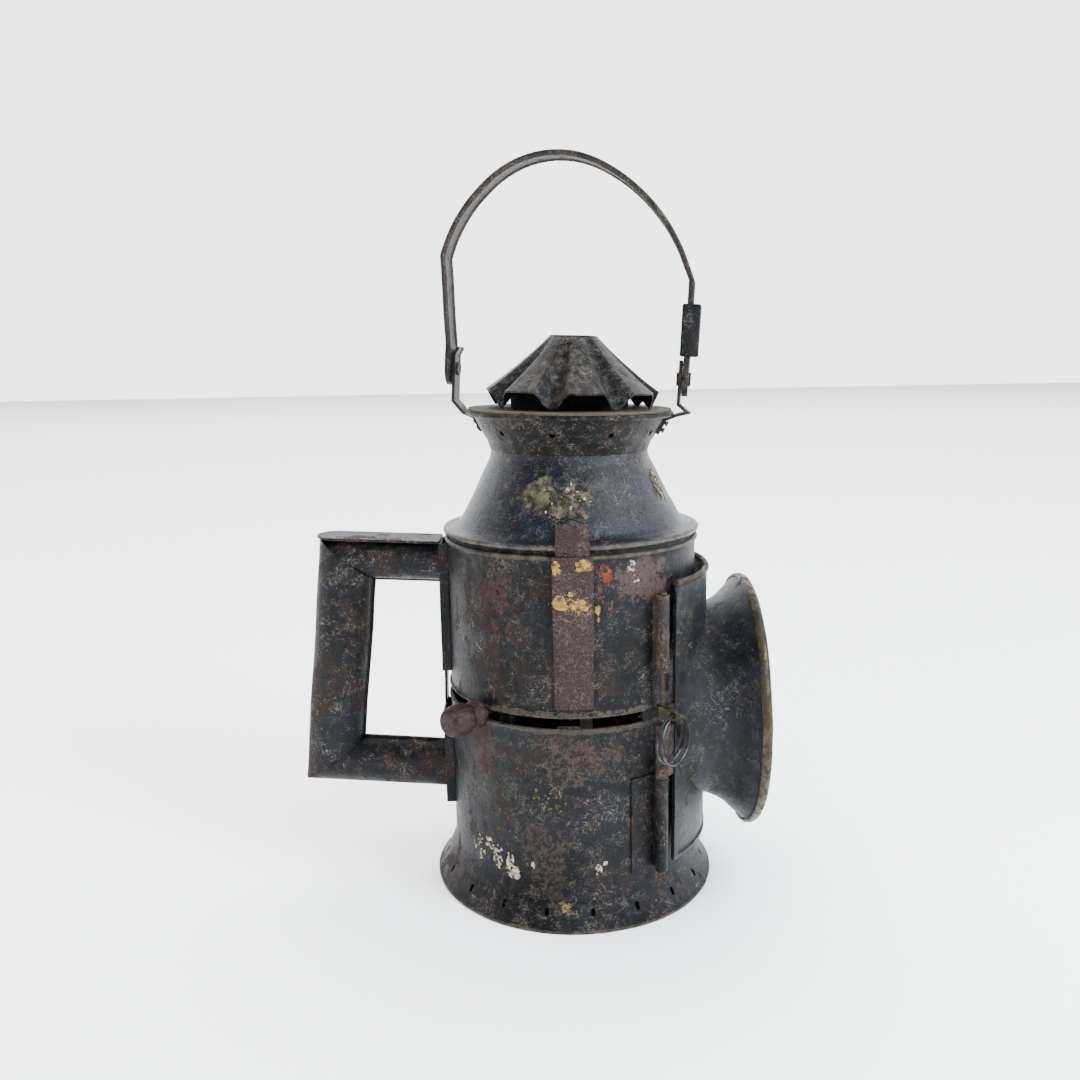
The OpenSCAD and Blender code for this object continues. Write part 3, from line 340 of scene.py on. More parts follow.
@dataclass(frozen=True)
class Japan:
    """Black japan over sheet metal, with rust, dust and specks.

    Attributes:
        name: The material's name.
        black: Colour of sound japan.
        bloom: Colour of its cloudy bluish bloom.
        rust: Colour of rusted patches.
        dust: Colour of dust in the hollows.
        rust_share: Share of the surface that has rusted.
        dust_share: Share that dust covers.
        gloss: Roughness of sound japan.
        shine: Strength of its reflections.
        relief: Depth of its lumps, in millimetres.
        marks: Spots that belong to a place.
        edges: Heights, in millimetres, at which a worn edge shows, with its half width.
    """

    name: str
    black: Colour = (0.0010, 0.0011, 0.0014)
    bloom: Colour = (0.0042, 0.0053, 0.0082)
    rust: Colour = (0.0200, 0.0130, 0.0112)
    dust: Colour = (0.0760, 0.0610, 0.0450)
    rust_share: float = 0.32
    dust_share: float = 0.30
    gloss: float = 0.30
    shine: float = 0.14
    relief: float = 0.75
    marks: tuple[Mark, ...] = ()
    edges: tuple[tuple[float, float], ...] = ()

    def make(self) -> bpy.types.Material:
        """Mix the finish.

        Returns:
            Its material.
        """
        mix = Recipe(self.name)
        cloud = mix.grain(32, 5, 0.55, twist=0.5)
        lumps = mix.grain(240, 7, 0.66)
        fine = mix.grain(1300, 4, 0.68)
        streaks = mix.grain(300, 5, 0.62, mix.place(Scale=(1, 1, 0.22)))
        colour = mix.blend(mix.span(cloud, 0.36, 0.68), self.black, self.bloom)
        colour = mix.blend(mix.span(streaks, 0.50, 0.74, 0, 0.5), colour, shaded(self.bloom, 1.6))
        rust = self._rust(mix, lumps, fine)
        dark, light = shaded(self.rust, 0.45), shaded(self.rust, 1.5)
        colour = mix.blend(rust, colour, mix.blend(mix.span(fine, 0.36, 0.66), dark, light))
        line = 0.70 - 0.20 * self.dust_share
        dusty = mix.span(mix.layers(lumps, fine, 0.45), line - 0.11, line, 0, 0.75)
        colour = mix.blend(dusty, colour, self.dust)
        colour = self._specks(mix, colour)
        for edge in self.edges:
            worn = mix.times(mix.band(*edge), mix.span(lumps, 0.36, 0.60, 0.15, 0.85))
            colour = mix.blend(worn, colour, shaded(self.dust, 0.8))
        flakes = mix.grain(520, 6, 0.72)
        for mark in self.marks:
            shade = mix.blend(mix.span(fine, 0.35, 0.65), shaded(mark.colour, 0.5), mark.colour)
            colour = mix.blend(mark.mask(mix, flakes), colour, shade)
        dull = mix.plus(mix.span(rust, 0, 1, self.gloss, 0.72), mix.span(fine, 0.3, 0.7, 0, 0.22))
        body = mix.relief(mix.layers(lumps, fine, 0.65), self.relief)
        skin = mix.relief(mix.grain(2600, 3, 0.65), self.relief * 0.2, body)
        mix.set(Base_Color=colour, Roughness=dull, Normal=skin, Specular_IOR_Level=self.shine)
        return mix.material

    def _rust(self, mix: Recipe, lumps: Socket, fine: Socket) -> Socket:
        """Return the mask of the rusted patches: broad soft ones broken by fine grain.

        Args:
            mix: The recipe to build in.
            lumps: The japan's lumps.
            fine: Its fine grain.

        Returns:
            The mask's socket.
        """
        line = 0.66 - 0.24 * self.rust_share
        broad = mix.grain(70, 8, 0.70, mix.place(Scale=(1, 1, 0.6)))
        broad = mix.span(broad, line - 0.04, line + 0.05)
        small = mix.span(lumps, line + 0.03, line + 0.10, 0, 0.8)
        return mix.times(mix.plus(broad, small), mix.span(fine, 0.32, 0.55, 0.45, 1))

    def _specks(self, mix: Recipe, colour: Socket) -> Socket:
        """Return the colour with sparse pale specks and curly hairlines, in two sizes each.

        Args:
            mix: The recipe to build in.
            colour: The colour so far.

        Returns:
            The new colour's socket.
        """
        for scale, size, rare in ((430, 0.11, 0.60), (900, 0.13, 0.56)):
            dot = mix.span(mix.cells(scale), size, size * 0.55)
            here = mix.times(dot, mix.span(mix.grain(scale * 0.35, 3), rare, rare + 0.07))
            colour = mix.blend(here, colour, SPECK)
        for scale, twist in ((150, 1.2), (330, 0.8)):
            fold = mix.calc("SUBTRACT", mix.grain(scale, 3, 0.6, twist=twist), 0.5)
            line = mix.span(mix.calc("ABSOLUTE", fold), 0.010, 0.003)
            here = mix.times(line, mix.span(mix.grain(scale * 0.4, 3), 0.52, 0.62, 0, 0.8))
            colour = mix.blend(here, colour, HAIRLINE)
        return colour


@dataclass(frozen=True)
class BareMetal:
    """Bare metal that has tarnished or rusted.

    Attributes:
        name: The material's name.
        bright: Colour where it is rubbed.
        dull: Colour where it is tarnished.
        crust: Colour of its rust or dirt.
        crust_share: Share that the crust covers.
        gloss: Roughness where it is rubbed.
        relief: Depth of its lumps, in millimetres.
    """

    name: str
    bright: Colour
    dull: Colour
    crust: Colour
    crust_share: float = 0.5
    gloss: float = 0.38
    relief: float = 0.2

    def make(self) -> bpy.types.Material:
        """Mix the finish.

        Returns:
            Its material.
        """
        mix = Recipe(self.name)
        cloud = mix.grain(120, 6, 0.6, twist=0.3)
        fine = mix.grain(1100, 5, 0.62)
        colour = mix.blend(mix.span(cloud, 0.35, 0.62), self.bright, self.dull)
        line = 0.70 - 0.32 * self.crust_share
        crust = mix.span(mix.grain(330, 7, 0.66), line - 0.06, line + 0.05)
        crusted = mix.blend(mix.span(fine, 0.35, 0.68), self.crust, shaded(self.crust, 1.8))
        colour = mix.blend(crust, colour, crusted)
        metal = mix.span(crust, 0.0, 1.0, 0.8, 0.05)
        rough = mix.plus(mix.span(crust, 0, 1, self.gloss, 0.8), mix.span(fine, 0.3, 0.7, 0, 0.12))
        bumps = mix.relief(mix.layers(cloud, fine, 0.5), self.relief)
        mix.set(Base_Color=colour, Metallic=metal, Roughness=rough, Normal=bumps)
        mix.set(Specular_IOR_Level=0.2)
        return mix.material


@dataclass(frozen=True)
class LampGlass:
    """Clear or coloured glass with a film of dust.

    Attributes:
        name: The material's name.
        tint: Colour of the glass.
    """

    name: str
    tint: Colour

    def make(self) -> bpy.types.Material:
        """Mix the finish.

        Returns:
            Its material.
        """
        mix = Recipe(self.name)
        film = mix.span(mix.grain(160, 6, 0.65), 0.48, 0.72, 0.0, 0.35)
        rough = mix.span(film, 0, 0.35, 0.04, 0.35)
        mix.set(Base_Color=self.tint, Roughness=rough, Normal=mix.relief(mix.grain(60, 2), 0.3))
        mix.set(Transmission_Weight=0.94, IOR=1.5)
        return mix.material


@dataclass(frozen=True)
class StainedWood:
    """Turned hardwood with a dark reddish stain, chipped and dirty.

    Attributes:
        name: The material's name.
        along: Middle line of the turning, as an azimuth in degrees.
        dark: Colour of the dark fibres.
        stain: Colour of the stained fibres.
        bare: Colour where the stain is rubbed off.
        dirt: Colour of the dirt.
    """

    name: str
    along: float = -45.0
    dark: Colour = (0.0075, 0.0034, 0.0032)
    stain: Colour = (0.026, 0.0115, 0.0100)
    bare: Colour = (0.045, 0.030, 0.026)
    dirt: Colour = (0.005, 0.004, 0.004)

    def make(self) -> bpy.types.Material:
        """Mix the finish.

        Returns:
            Its material.
        """
        mix = Recipe(self.name)
        turned = mix.place(Rotation=(0, 0, math.radians(90 - self.along)))
        fibre = mix.grain(900, 6, 0.6, mix.place(turned, Scale=(0.12, 1, 1)), 0.6)
        cloud = mix.grain(260, 5, 0.6)
        colour = mix.blend(mix.span(fibre, 0.35, 0.68), self.dark, self.stain)
        colour = mix.blend(mix.span(cloud, 0.55, 0.75, 0, 0.55), colour, self.bare)
        colour = mix.blend(mix.span(mix.grain(700, 4), 0.62, 0.7, 0, 0.6), colour, self.dirt)
        rough = mix.span(cloud, 0.3, 0.7, 0.42, 0.7)
        mix.set(Base_Color=colour, Roughness=rough, Normal=mix.relief(fibre, 0.3))
        mix.set(Specular_IOR_Level=0.16)
        return mix.material


@dataclass(frozen=True)
class DryFill:
    """A chalky or fibrous filling, such as putty, crust or wick.

    Attributes:
        name: The material's name.
        pale: Its light colour.
        dark: Its dirty colour.
        scale: Lumps per metre.
        relief: Depth of its lumps, in millimetres.
    """

    name: str
    pale: Colour
    dark: Colour
    scale: float = 400.0
    relief: float = 0.3

    def make(self) -> bpy.types.Material:
        """Mix the finish.

        Returns:
            Its material.
        """
        mix = Recipe(self.name)
        lumps = mix.grain(self.scale, 7, 0.68)
        colour = mix.blend(mix.span(lumps, 0.38, 0.66), self.dark, self.pale)
        mix.set(Base_Color=colour, Roughness=0.9, Normal=mix.relief(lumps, self.relief))
        mix.set(Specular_IOR_Level=0.15)
        return mix.material


class Finish(Enum):
    """The finishes of the lamp, made once each."""

    BODY = Japan(
        "japan_on_body", rust_share=0.42, edges=((163, 1.5),),
        marks=(
            Mark((0, -62, 95.6), (48, 42, 1.5), SLOT_WEAR, 0.5, 0.8, broken=0.2),
            Mark((0, -62, 88.6), (48, 42, 1.5), SLOT_WEAR, 0.5, 0.8, broken=0.2),
            Mark((-42.1, -38.7, 78), (8, 8, 14), (0.036, 0.021, 0.018), 0.8, broken=0.3),
            Mark((-0.9, -57.2, 76), (15, 8, 11), (0.042, 0.030, 0.024), 0.7, broken=0.45),
            Mark((-14.3, -55.4, 30), (10, 7, 15), (0.038, 0.026, 0.021), 0.8, broken=0.45),
            Mark((-32.5, -47.0, 146), (8, 9, 13), (0.038, 0.016, 0.014), 0.8, broken=0.4),
            Mark((28, -50, 151), (17, 12, 8.5), (0.062, 0.036, 0.032), 0.6, broken=0.1),
            Mark((-10.9, -56.2, 57.6), (6, 5, 6), OCHRE, 0.8, broken=0.8),
            Mark((3, -56.9, 47), (8, 5, 8), OCHRE, 0.8, broken=0.9),
        ),
    )
    SKIRT = Japan(
        "japan_on_skirt", rust_share=0.42, dust_share=0.34, edges=((0.6, 1.4),),
        marks=(Mark((-5.1, -61, 8.9), (3, 4, 3), OCHRE, 0.7, broken=0.4),),
    )
    HOOD = Japan(
        "japan_on_hood", bloom=(0.0040, 0.0062, 0.0115),
        rust_share=0.12, gloss=0.2, shine=0.24, relief=0.5, edges=((166.4, 2.4),),
        marks=(
            Mark((-14.9, -42.5, 188), (8.6, 6, 10), (0.030, 0.026, 0.022), 0.5),
            Mark((0.8, -45.0, 186.5), (9.0, 6, 10), (0.030, 0.026, 0.022), 0.6, broken=0.2),
            Mark((41.1, -18.4, 186), (5, 7, 7.5), (0.05, 0.045, 0.038), 0.6),
        ),
    )
    COLLAR = Japan(
        "japan_on_collar", bloom=(0.0030, 0.0036, 0.0050),
        rust_share=0.3, dust_share=0.42, shine=0.09,
    )
    CAP = Japan(
        "japan_on_cap", dust=(0.050, 0.041, 0.031),
        rust_share=0.25, dust_share=0.6, relief=0.8, shine=0.16,
    )
    GRIP = Japan("japan_on_grip", rust_share=0.5, dust_share=0.25)
    DOOR = Japan(
        "japan_on_door", bloom=(0.0042, 0.0062, 0.0110),
        rust_share=0.15, dust_share=0.25, shine=0.26,
    )
    STRAP = Japan(
        "rusted_strap", black=(0.0065, 0.0050, 0.0048), bloom=(0.0150, 0.0108, 0.0100),
        rust=(0.0290, 0.0180, 0.0168), rust_share=1.1, dust_share=0.3,
        marks=(Mark((-2.2, -60, 144), (8, 5, 4), BRAZE, 0.7, broken=0.5),),
    )
    HINGE = Japan(
        "rusted_hinge", black=(0.011, 0.0085, 0.0075), bloom=(0.023, 0.0185, 0.0165),
        rust_share=0.8, dust_share=0.5,
    )
    BAIL = Japan(
        "rusted_bail", black=(0.0105, 0.0088, 0.0080), bloom=(0.0240, 0.0195, 0.0170),
        rust=(0.0260, 0.0185, 0.0155), rust_share=0.4, dust_share=0.25, shine=0.10, relief=0.22,
    )
    SLEEVE = Japan(
        "japan_on_sleeve", bloom=(0.0042, 0.0058, 0.0100), rust_share=0.25, dust_share=0.12,
    )
    STEEL = BareMetal(
        "worn_steel", (0.06, 0.054, 0.048), (0.028, 0.024, 0.021), (0.028, 0.020, 0.016), 0.7
    )
    RING = BareMetal(
        "dark_steel_ring", (0.09, 0.09, 0.095), (0.016, 0.016, 0.017), (0.018, 0.013, 0.011),
        crust_share=0.4, gloss=0.28,
    )
    PLATE = BareMetal(
        "dusty_plate", (0.030, 0.026, 0.020), (0.010, 0.009, 0.007), (0.036, 0.030, 0.022),
        crust_share=0.9, relief=0.5,
    )
    BRASS = BareMetal(
        "brown_brass", (0.060, 0.043, 0.026), (0.026, 0.020, 0.013), (0.013, 0.0105, 0.0075),
        gloss=0.3, relief=0.35,
    )
    # Soot black for the chimney. The ring under the cap also uses it as painted shade in the cap's
    # mouths.
    SOOT = DryFill("soot_and_painted_shade", (0.0060, 0.0052, 0.0046), (0.0020, 0.0018, 0.0017), 260, 0.3)
    TIN = BareMetal(
        "bright_tinplate", (0.72, 0.72, 0.70), (0.5, 0.5, 0.48), (0.3, 0.25, 0.2),
        crust_share=0.1, gloss=0.15,
    )
    CLEAR = LampGlass("lens_glass", (0.95, 0.97, 0.96))
    RED = LampGlass("ruby_glass", (0.12, 0.003, 0.002))
    GREEN = LampGlass("bottle_glass", (0.01, 0.22, 0.11))
    WOOD = StainedWood("turned_wood")
    CREAM_PAINT = DryFill("cream_paint", (0.44, 0.41, 0.33), (0.13, 0.11, 0.08), 700, 0.15)
    ORANGE_PAINT = DryFill("orange_paint", (0.180, 0.042, 0.018), (0.060, 0.018, 0.011), 700, 0.2)
    WHITE_PAINT = DryFill("white_paint", (0.34, 0.33, 0.31), (0.09, 0.08, 0.075), 700, 0.15)
    SOLDER = DryFill("braze_lumps", (0.34, 0.200, 0.052), (0.050, 0.028, 0.012), 420, 0.6)
    CRUST = DryFill("grey_crust", (0.090, 0.074, 0.048), (0.010, 0.0085, 0.007), 260, 0.9)
    PUTTY = DryFill("old_putty", (0.34, 0.30, 0.22), (0.10, 0.08, 0.055))
    COTTON = DryFill("cotton_wick", (0.62, 0.57, 0.45), (0.3, 0.25, 0.18), 1500)

    def material(self) -> bpy.types.Material:
        """Return the finish's material, made on first use."""
        return bpy.data.materials.get(self.value.name) or self.value.make()


def put(name: str, data: bpy.types.ID) -> bpy.types.Object:
    """Stand a new object in the scene.

    Args:
        name: Its name.
        data: Its mesh, light or camera.

    Returns:
        The object.
    """
    made = bpy.data.objects.new(name, data)
    bpy.context.scene.collection.objects.link(made)
    return made


def carrier(node: str) -> str:
    """Return the body that carries a CAD node."""
    return frame["nodes"][node]["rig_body"]


def dress(finish: Finish, *nodes: str) -> None:
    """Give CAD nodes a finish.

    Args:
        finish: The finish to give.
        nodes: Names of the nodes.
    """
    for name in nodes:
        mesh = frame["nodes"][name].data
        mesh.materials.clear()
        mesh.materials.append(finish.material())
    log.info("dressed %s in %s", ", ".join(nodes), finish.value.name)


# Sheet-metal work


WELD = 0.000005
CALM_R = 0.012
DENT_R = 0.055


def dent(point: Vector, strength: float = 1.0) -> Vector:
    """Return how far hand work and knocks have moved a point of the lamp.

    Dents are read on a drum of radius DENT_R, so that both skins of a sheet move alike, and stop
    at CALM_R from the axis.

    Args:
        point: The point, in metres.
        strength: Share of the usual depth.

    Returns:
        The move, in metres.
    """
    out = Vector((point.x, point.y, 0.0))
    if out.length < CALM_R:
        return Vector((0.0, 0.0, 0.0))
    out.normalize()
    knock, ripple, rise = 0.42, 0.16, 0.22
    place = Vector((out.x * DENT_R, out.y * DENT_R, point.z))
    depth = knock * noise.noise(place * 30)
    depth += ripple * noise.noise(place * 95 + Vector((3, 7, 1)))
    lift = rise * noise.noise(place * 26 + Vector((9, 2, 5)))
    return (out * depth + Vector((0.0, 0.0, lift))) * (MM * strength)


def settle(
    bm: BMesh, name: str, finish: Finish, body: str, sharp: float = 32.0
) -> bpy.types.Object:
    """Turn a bmesh into a finished piece that rides on a body.

    Args:
        bm: The mesh, in metres, freed here.
        name: The piece's name.
        finish: Its finish.
        body: The body that carries it.
        sharp: Angle, in degrees, past which an edge stays sharp.

    Returns:
        The piece.
    """
    mesh = bpy.data.meshes.new(name)
    bm.to_mesh(mesh)
    bm.free()
    mesh.shade_smooth()
    mesh.set_sharp_from_angle(angle=math.radians(sharp))
    mesh.materials.append(finish.material())
    piece = put(name, mesh)
    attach(piece, body)
    log.info("made %s: %d faces", name, len(mesh.polygons))
    return piece


def soften(bm: BMesh, radius: float, angle: float = 35.0) -> None:
    """Round the sharp edges of a mesh.

    Args:
        bm: The mesh, in metres.
        radius: Radius of the rounding, in millimetres.
        angle: Angle, in degrees, past which an edge is rounded.
    """
    limit = math.radians(angle)
    folds = [e for e in bm.edges if len(e.link_faces) == 2]
    sharp = [e for e in folds if e.calc_face_angle(0.0) > limit]
    bmesh.ops.bevel(
        bm, geom=sharp, affect="EDGES", offset=radius * MM, segments=2, profile=0.5, material=-1,
        clamp_overlap=True,
    )


def face_out(bm: BMesh) -> None:
    """Turn the faces of a mesh outwards."""
    bmesh.ops.recalc_face_normals(bm, faces=bm.faces[:])


def node_copy(node: str, merge_flats: bool) -> BMesh:
    """Return a copy of a CAD node's mesh with its loose triangles joined.

    Args:
        node: The CAD node.
        merge_flats: Whether triangles in one plane become one face.

    Returns:
        The copy, in metres.
    """
    bm = bmesh.new()
    bm.from_mesh(frame["nodes"][node].data)
    bmesh.ops.remove_doubles(bm, verts=bm.verts[:], dist=WELD)
    if merge_flats:
        flat = math.radians(0.4)
        bmesh.ops.dissolve_limit(bm, angle_limit=flat, verts=bm.verts[:], edges=bm.edges[:])
    return bm


def refine(bm: BMesh, longest: float) -> None:
    """Split the edges of a mesh until none is too long.

    Args:
        bm: The mesh, in metres.
        longest: The longest edge allowed, in millimetres.
    """
    for _ in range(6):
        bmesh.ops.triangulate(bm, faces=bm.faces[:])
        long = [e for e in bm.edges if e.calc_length() > longest * MM]
        if not long:
            break
        bmesh.ops.subdivide_edges(bm, edges=long, cuts=1)
    bmesh.ops.triangulate(bm, faces=bm.faces[:])


def hand_worked(
    node: str, finish: Finish, longest: float = 4.0, round_off: float = 0.0, strength: float = 1.0
) -> None:
    """Replace a CAD node by a dented copy of itself.

    Args:
        node: The CAD node.
        finish: The copy's finish.
        longest: Longest edge of the copy, in millimetres.
        round_off: Radius of its edges, in millimetres, or 0 to leave them.
        strength: Share of the usual depth of dents.
    """
    bm = node_copy(node, merge_flats=round_off > 0)
    if round_off:
        soften(bm, round_off)
    refine(bm, longest)
    for vert in bm.verts:
        vert.co += dent(vert.co, strength)
    piece = settle(bm, "worked_" + node, finish, carrier(node))
    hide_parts(node)


def thread(path: Sequence[Vector], radius: float) -> BMesh:
    """Return a slightly uneven wire with closed ends that follows a path.

    Args:
        path: Points in millimetres.
        radius: The wire's radius, in millimetres.

    Returns:
        The wire's mesh, in metres.
    """
    bm = bmesh.new()
    loops: list[list[BMEdge]] = []
    side = Vector((0.0, 0.0, 1.0))
    for i, point in enumerate(path):
        way = (path[min(i + 1, len(path) - 1)] - path[max(i - 1, 0)]).normalized()
        across = side - way * side.dot(way)
        side = across.normalized() if across.length > 0.01 else way.orthogonal().normalized()
        turn = Matrix((side, way.cross(side), way)).transposed().to_4x4()
        grow = radius * (1 + 0.1 * noise.noise(point * 0.9)) * MM
        place = Matrix.Translation(point * MM) @ turn
        made = bmesh.ops.create_circle(bm, cap_ends=False, segments=14, radius=grow, matrix=place)
        loops.append(list({edge for vert in made["verts"] for edge in vert.link_edges}))
    for first, second in zip(loops, loops[1:]):
        bmesh.ops.bridge_loops(bm, edges=first + second)
    bmesh.ops.holes_fill(bm, edges=[e for e in bm.edges if e.is_boundary], sides=0)
    face_out(bm)
    return bm


@dataclass(frozen=True)
class Flake:
    """A thin raised patch of paint, solder or crust on a turned surface.

    Attributes:
        azimuth: Its middle, in degrees from the front towards the lens.
        height: Its middle above the foot, in millimetres.
        wide: Its half width, in millimetres.
        high: Its half height, in millimetres.
        thick: Its thickness, in millimetres.
        broken: Share of it that has flaked away.
        seed: Choice of its outline.
    """

    azimuth: float
    height: float
    wide: float
    high: float
    thick: float
    broken: float
    seed: int

    def spread(self, bm: BMesh, radius: Callable[[float], float], dented: float = 1.0) -> None:
        """Add the patch to a mesh.

        Args:
            bm: The mesh, in metres.
            radius: The surface's radius at a height, both in millimetres.
            dented: Share of the usual dents that the surface has.
        """
        cell = 0.45
        across = max(6, int(self.wide * 2 / cell))
        along = max(6, int(self.high * 2 / cell))
        grid = bmesh.ops.create_grid(bm, x_segments=across, y_segments=along, size=1.0)["verts"]
        shift = Vector((self.seed * 13.7, self.seed * 5.1, self.seed * 9.3))
        lost = []
        for vert in grid:
            u, v = vert.co.x, vert.co.y
            ragged = 0.34 * noise.noise(Vector((u * 2.1, v * 2.1, 0)) + shift)
            ragged += 0.20 * noise.noise(Vector((u * 6, v * 6, 1)) + shift)
            chip = 0.5 + 0.5 * noise.noise(Vector((u * self.wide, v * self.high, 3)) * 0.75 + shift)
            if math.hypot(u, v) + ragged > 0.95 or chip < self.broken:
                lost.append(vert)
        bmesh.ops.delete(bm, geom=lost, context="VERTS")
        kept = [v for v in grid if v.is_valid]
        alone = [v for v in kept if not v.link_faces]
        bmesh.ops.delete(bm, geom=alone, context="VERTS")
        kept = [v for v in kept if v.is_valid]
        for vert in kept:
            u, v = vert.co.x, vert.co.y
            z = self.height + v * self.high
            r = radius(z)
            a = self.azimuth + math.degrees(u * self.wide / r)
            lump = 0.75 + 0.5 * noise.noise(Vector((u * self.wide, v * self.high, 7)) * 0.6 + shift)
            edge = min(1.0, max(0.2, (1.05 - math.hypot(u, v)) * 2.5))
            place = on_drum(r + self.thick * lump * edge, a, z) * MM
            vert.co = place + dent(place, dented)
        faces = list({f for v in kept for f in v.link_faces})
        rim = [e for e in {e for f in faces for e in f.edges} if e.is_boundary]
        skirt = bmesh.ops.extrude_edge_only(bm, edges=rim)["geom"]
        for vert in (g for g in skirt if isinstance(g, BMVert)):
            inwards = Vector((vert.co.x, vert.co.y, 0)).normalized()
            vert.co -= inwards * (self.thick * 0.9 + 0.12) * MM


def flaked(
    name: str,
    finish: Finish,
    node: str,
    radius: Callable[[float], float],
    first_seed: int,
    rows: Sequence[tuple[float, ...]],
    dented: float = 1.0,
) -> None:
    """Build one piece that holds several raised patches on a turned surface.

    Args:
        name: The piece's name.
        finish: Its finish.
        node: The CAD node that it lies on.
        radius: The surface's radius at a height, both in millimetres.
        first_seed: Seed of the first patch. Each next one counts up.
        rows: A patch's azimuth, height, wide, high, thick and broken.
        dented: Share of the usual dents that the surface has.
    """
    bm = bmesh.new()
    for count, row in enumerate(rows):
        Flake(*row, seed=first_seed + count).spread(bm, radius, dented)
    face_out(bm)
    settle(bm, name, finish, carrier(node), 60)


def along(profile: Sequence[tuple[float, float]], z: float) -> float:
    """Return the radius of a turned outline at a height.

    Args:
        profile: Pairs of height and radius, from low to high.
        z: The height.

    Returns:
        The radius, in the outline's own unit.
    """
    for (z0, r0), (z1, r1) in zip(profile, profile[1:]):
        if z <= z1:
            return r0 + (r1 - r0) * (z - z0) / (z1 - z0)
    return profile[-1][1]


def ray(angle: float) -> Vector:
    """Return the flat direction at an angle in degrees."""
    return Vector((math.cos(math.radians(angle)), math.sin(math.radians(angle))))


def arc(centre: Vector, radius: float, start: float, end: float) -> list[Vector]:
    """Return 13 points along a flat arc between two angles in degrees."""
    turns = (start + (end - start) * k / 12 for k in range(13))
    return [centre + ray(turn) * radius for turn in turns]


CONE = ((168.5, 57.4), (169.5, 51.5), (182.2, 44.6), (193.5, 39.2), (199.3, 36.2), (205.5, 35.2))
POCKET = ((124.0, 57.9), (131.0, 61.1), (164.0, 61.1))


# Sub-assemblies


class Assembly:
    """A sub-assembly of the lamp."""

    def dress(self) -> None:
        """Give its CAD nodes their finishes."""
        raise NotImplementedError

    def build(self) -> None:
        """Build what the solids leave out, which is nothing on most of them."""


@dataclass
class LampBody(Assembly):
    """Skirt, body drum, latch strap, hinges and what stands inside.

    Attributes:
        drum_r: Outer radius of the body drum, in millimetres.
    """

    drum_r: float = 57.0

    def dress(self) -> None:
        """Give the nodes of the body their finishes."""
        dress(Finish.BODY, "bottom_plate", "drum_ledge", "lower_hinge_barrel")
        dress(Finish.HINGE, "upper_hinge_barrel", "door_keeper", "rear_hinge_leaf")
        dress(Finish.BRASS, "upper_hinge_pin", "lower_hinge_pin", "filler_cap", "burner")
        dress(Finish.BRASS, "wick_tube", "wick_spindle", "wick_key")
        dress(Finish.STEEL, "rear_hinge_pin", "oil_font", "reflector_post")
        dress(Finish.TIN, "reflector")
        dress(Finish.COTTON, "wick")
        hand_worked("body_shell", Finish.BODY)
        hand_worked("base_skirt", Finish.SKIRT)
        hand_worked("latch_pocket", Finish.STRAP, 3.0, 0.2)
        hand_worked("grip_back_strip", Finish.BODY, round_off=0.2)

    def build(self) -> None:
        """Build the paint flakes and the solder on the body."""
        shell = "body_shell", lambda z: self.drum_r
        flaked("cream_flakes", Finish.CREAM_PAINT, *shell, 1, (
            (-50, 27, 4.5, 6, 0.16, 0.50), (-43, 31, 3, 3.5, 0.16, 0.4),
            (-38, 26, 3, 6, 0.16, 0.42), (-31, 24, 2.6, 6.5, 0.16, 0.36),
            (-28, 21, 2.2, 4, 0.16, 0.3), (9, 25, 2, 2.6, 0.16, 0.3),
            (12, 27.5, 1.4, 1.4, 0.16, 0.2), (-20, 26.5, 1.2, 2, 0.16, 0.3),
        ))
        flaked("orange_flakes", Finish.ORANGE_PAINT, *shell, 11, (
            (12.5, 156, 3, 5, 0.14, 0.45), (11, 148, 2, 5.5, 0.14, 0.5),
            (15, 142, 1.6, 3, 0.14, 0.45),
        ))
        flaked("white_flakes", Finish.WHITE_PAINT, *shell, 21, (
            (24.5, 158, 3, 3, 0.14, 0.45), (26, 152.5, 2.4, 2, 0.14, 0.5),
        ))
        strap = "body_shell", lambda z: along(POCKET, z)
        flaked("solder_on_strap", Finish.SOLDER, *strap, 31, (
            (-7.5, 160, 2.2, 3.6, 0.7, 0.1), (3.2, 160.5, 4, 3.2, 0.9, 0.0),
            (-6, 145, 3.4, 3.2, 0.8, 0.1), (1.4, 144, 5.4, 2.6, 0.8, 0.0),
            (-2, 149, 1.6, 1.4, 0.6, 0.0),
        ), dented=0.0)
        flaked("solder_beside_strap", Finish.SOLDER, *shell, 41, (
            (9.2, 141, 1.6, 2.4, 0.6, 0.0), (9.6, 136.6, 1.0, 1.4, 0.5, 0.0),
        ))


@dataclass
class Grip(Assembly):
    """Three mitred tubes and the plate on top."""

    def dress(self) -> None:
        """Give the nodes of the grip their finishes."""
        for node in ("grip_tube", "grip_lower_arm", "grip_upper_arm"):
            hand_worked(node, Finish.GRIP)
        hand_worked("grip_top_plate", Finish.GRIP, round_off=0.25)


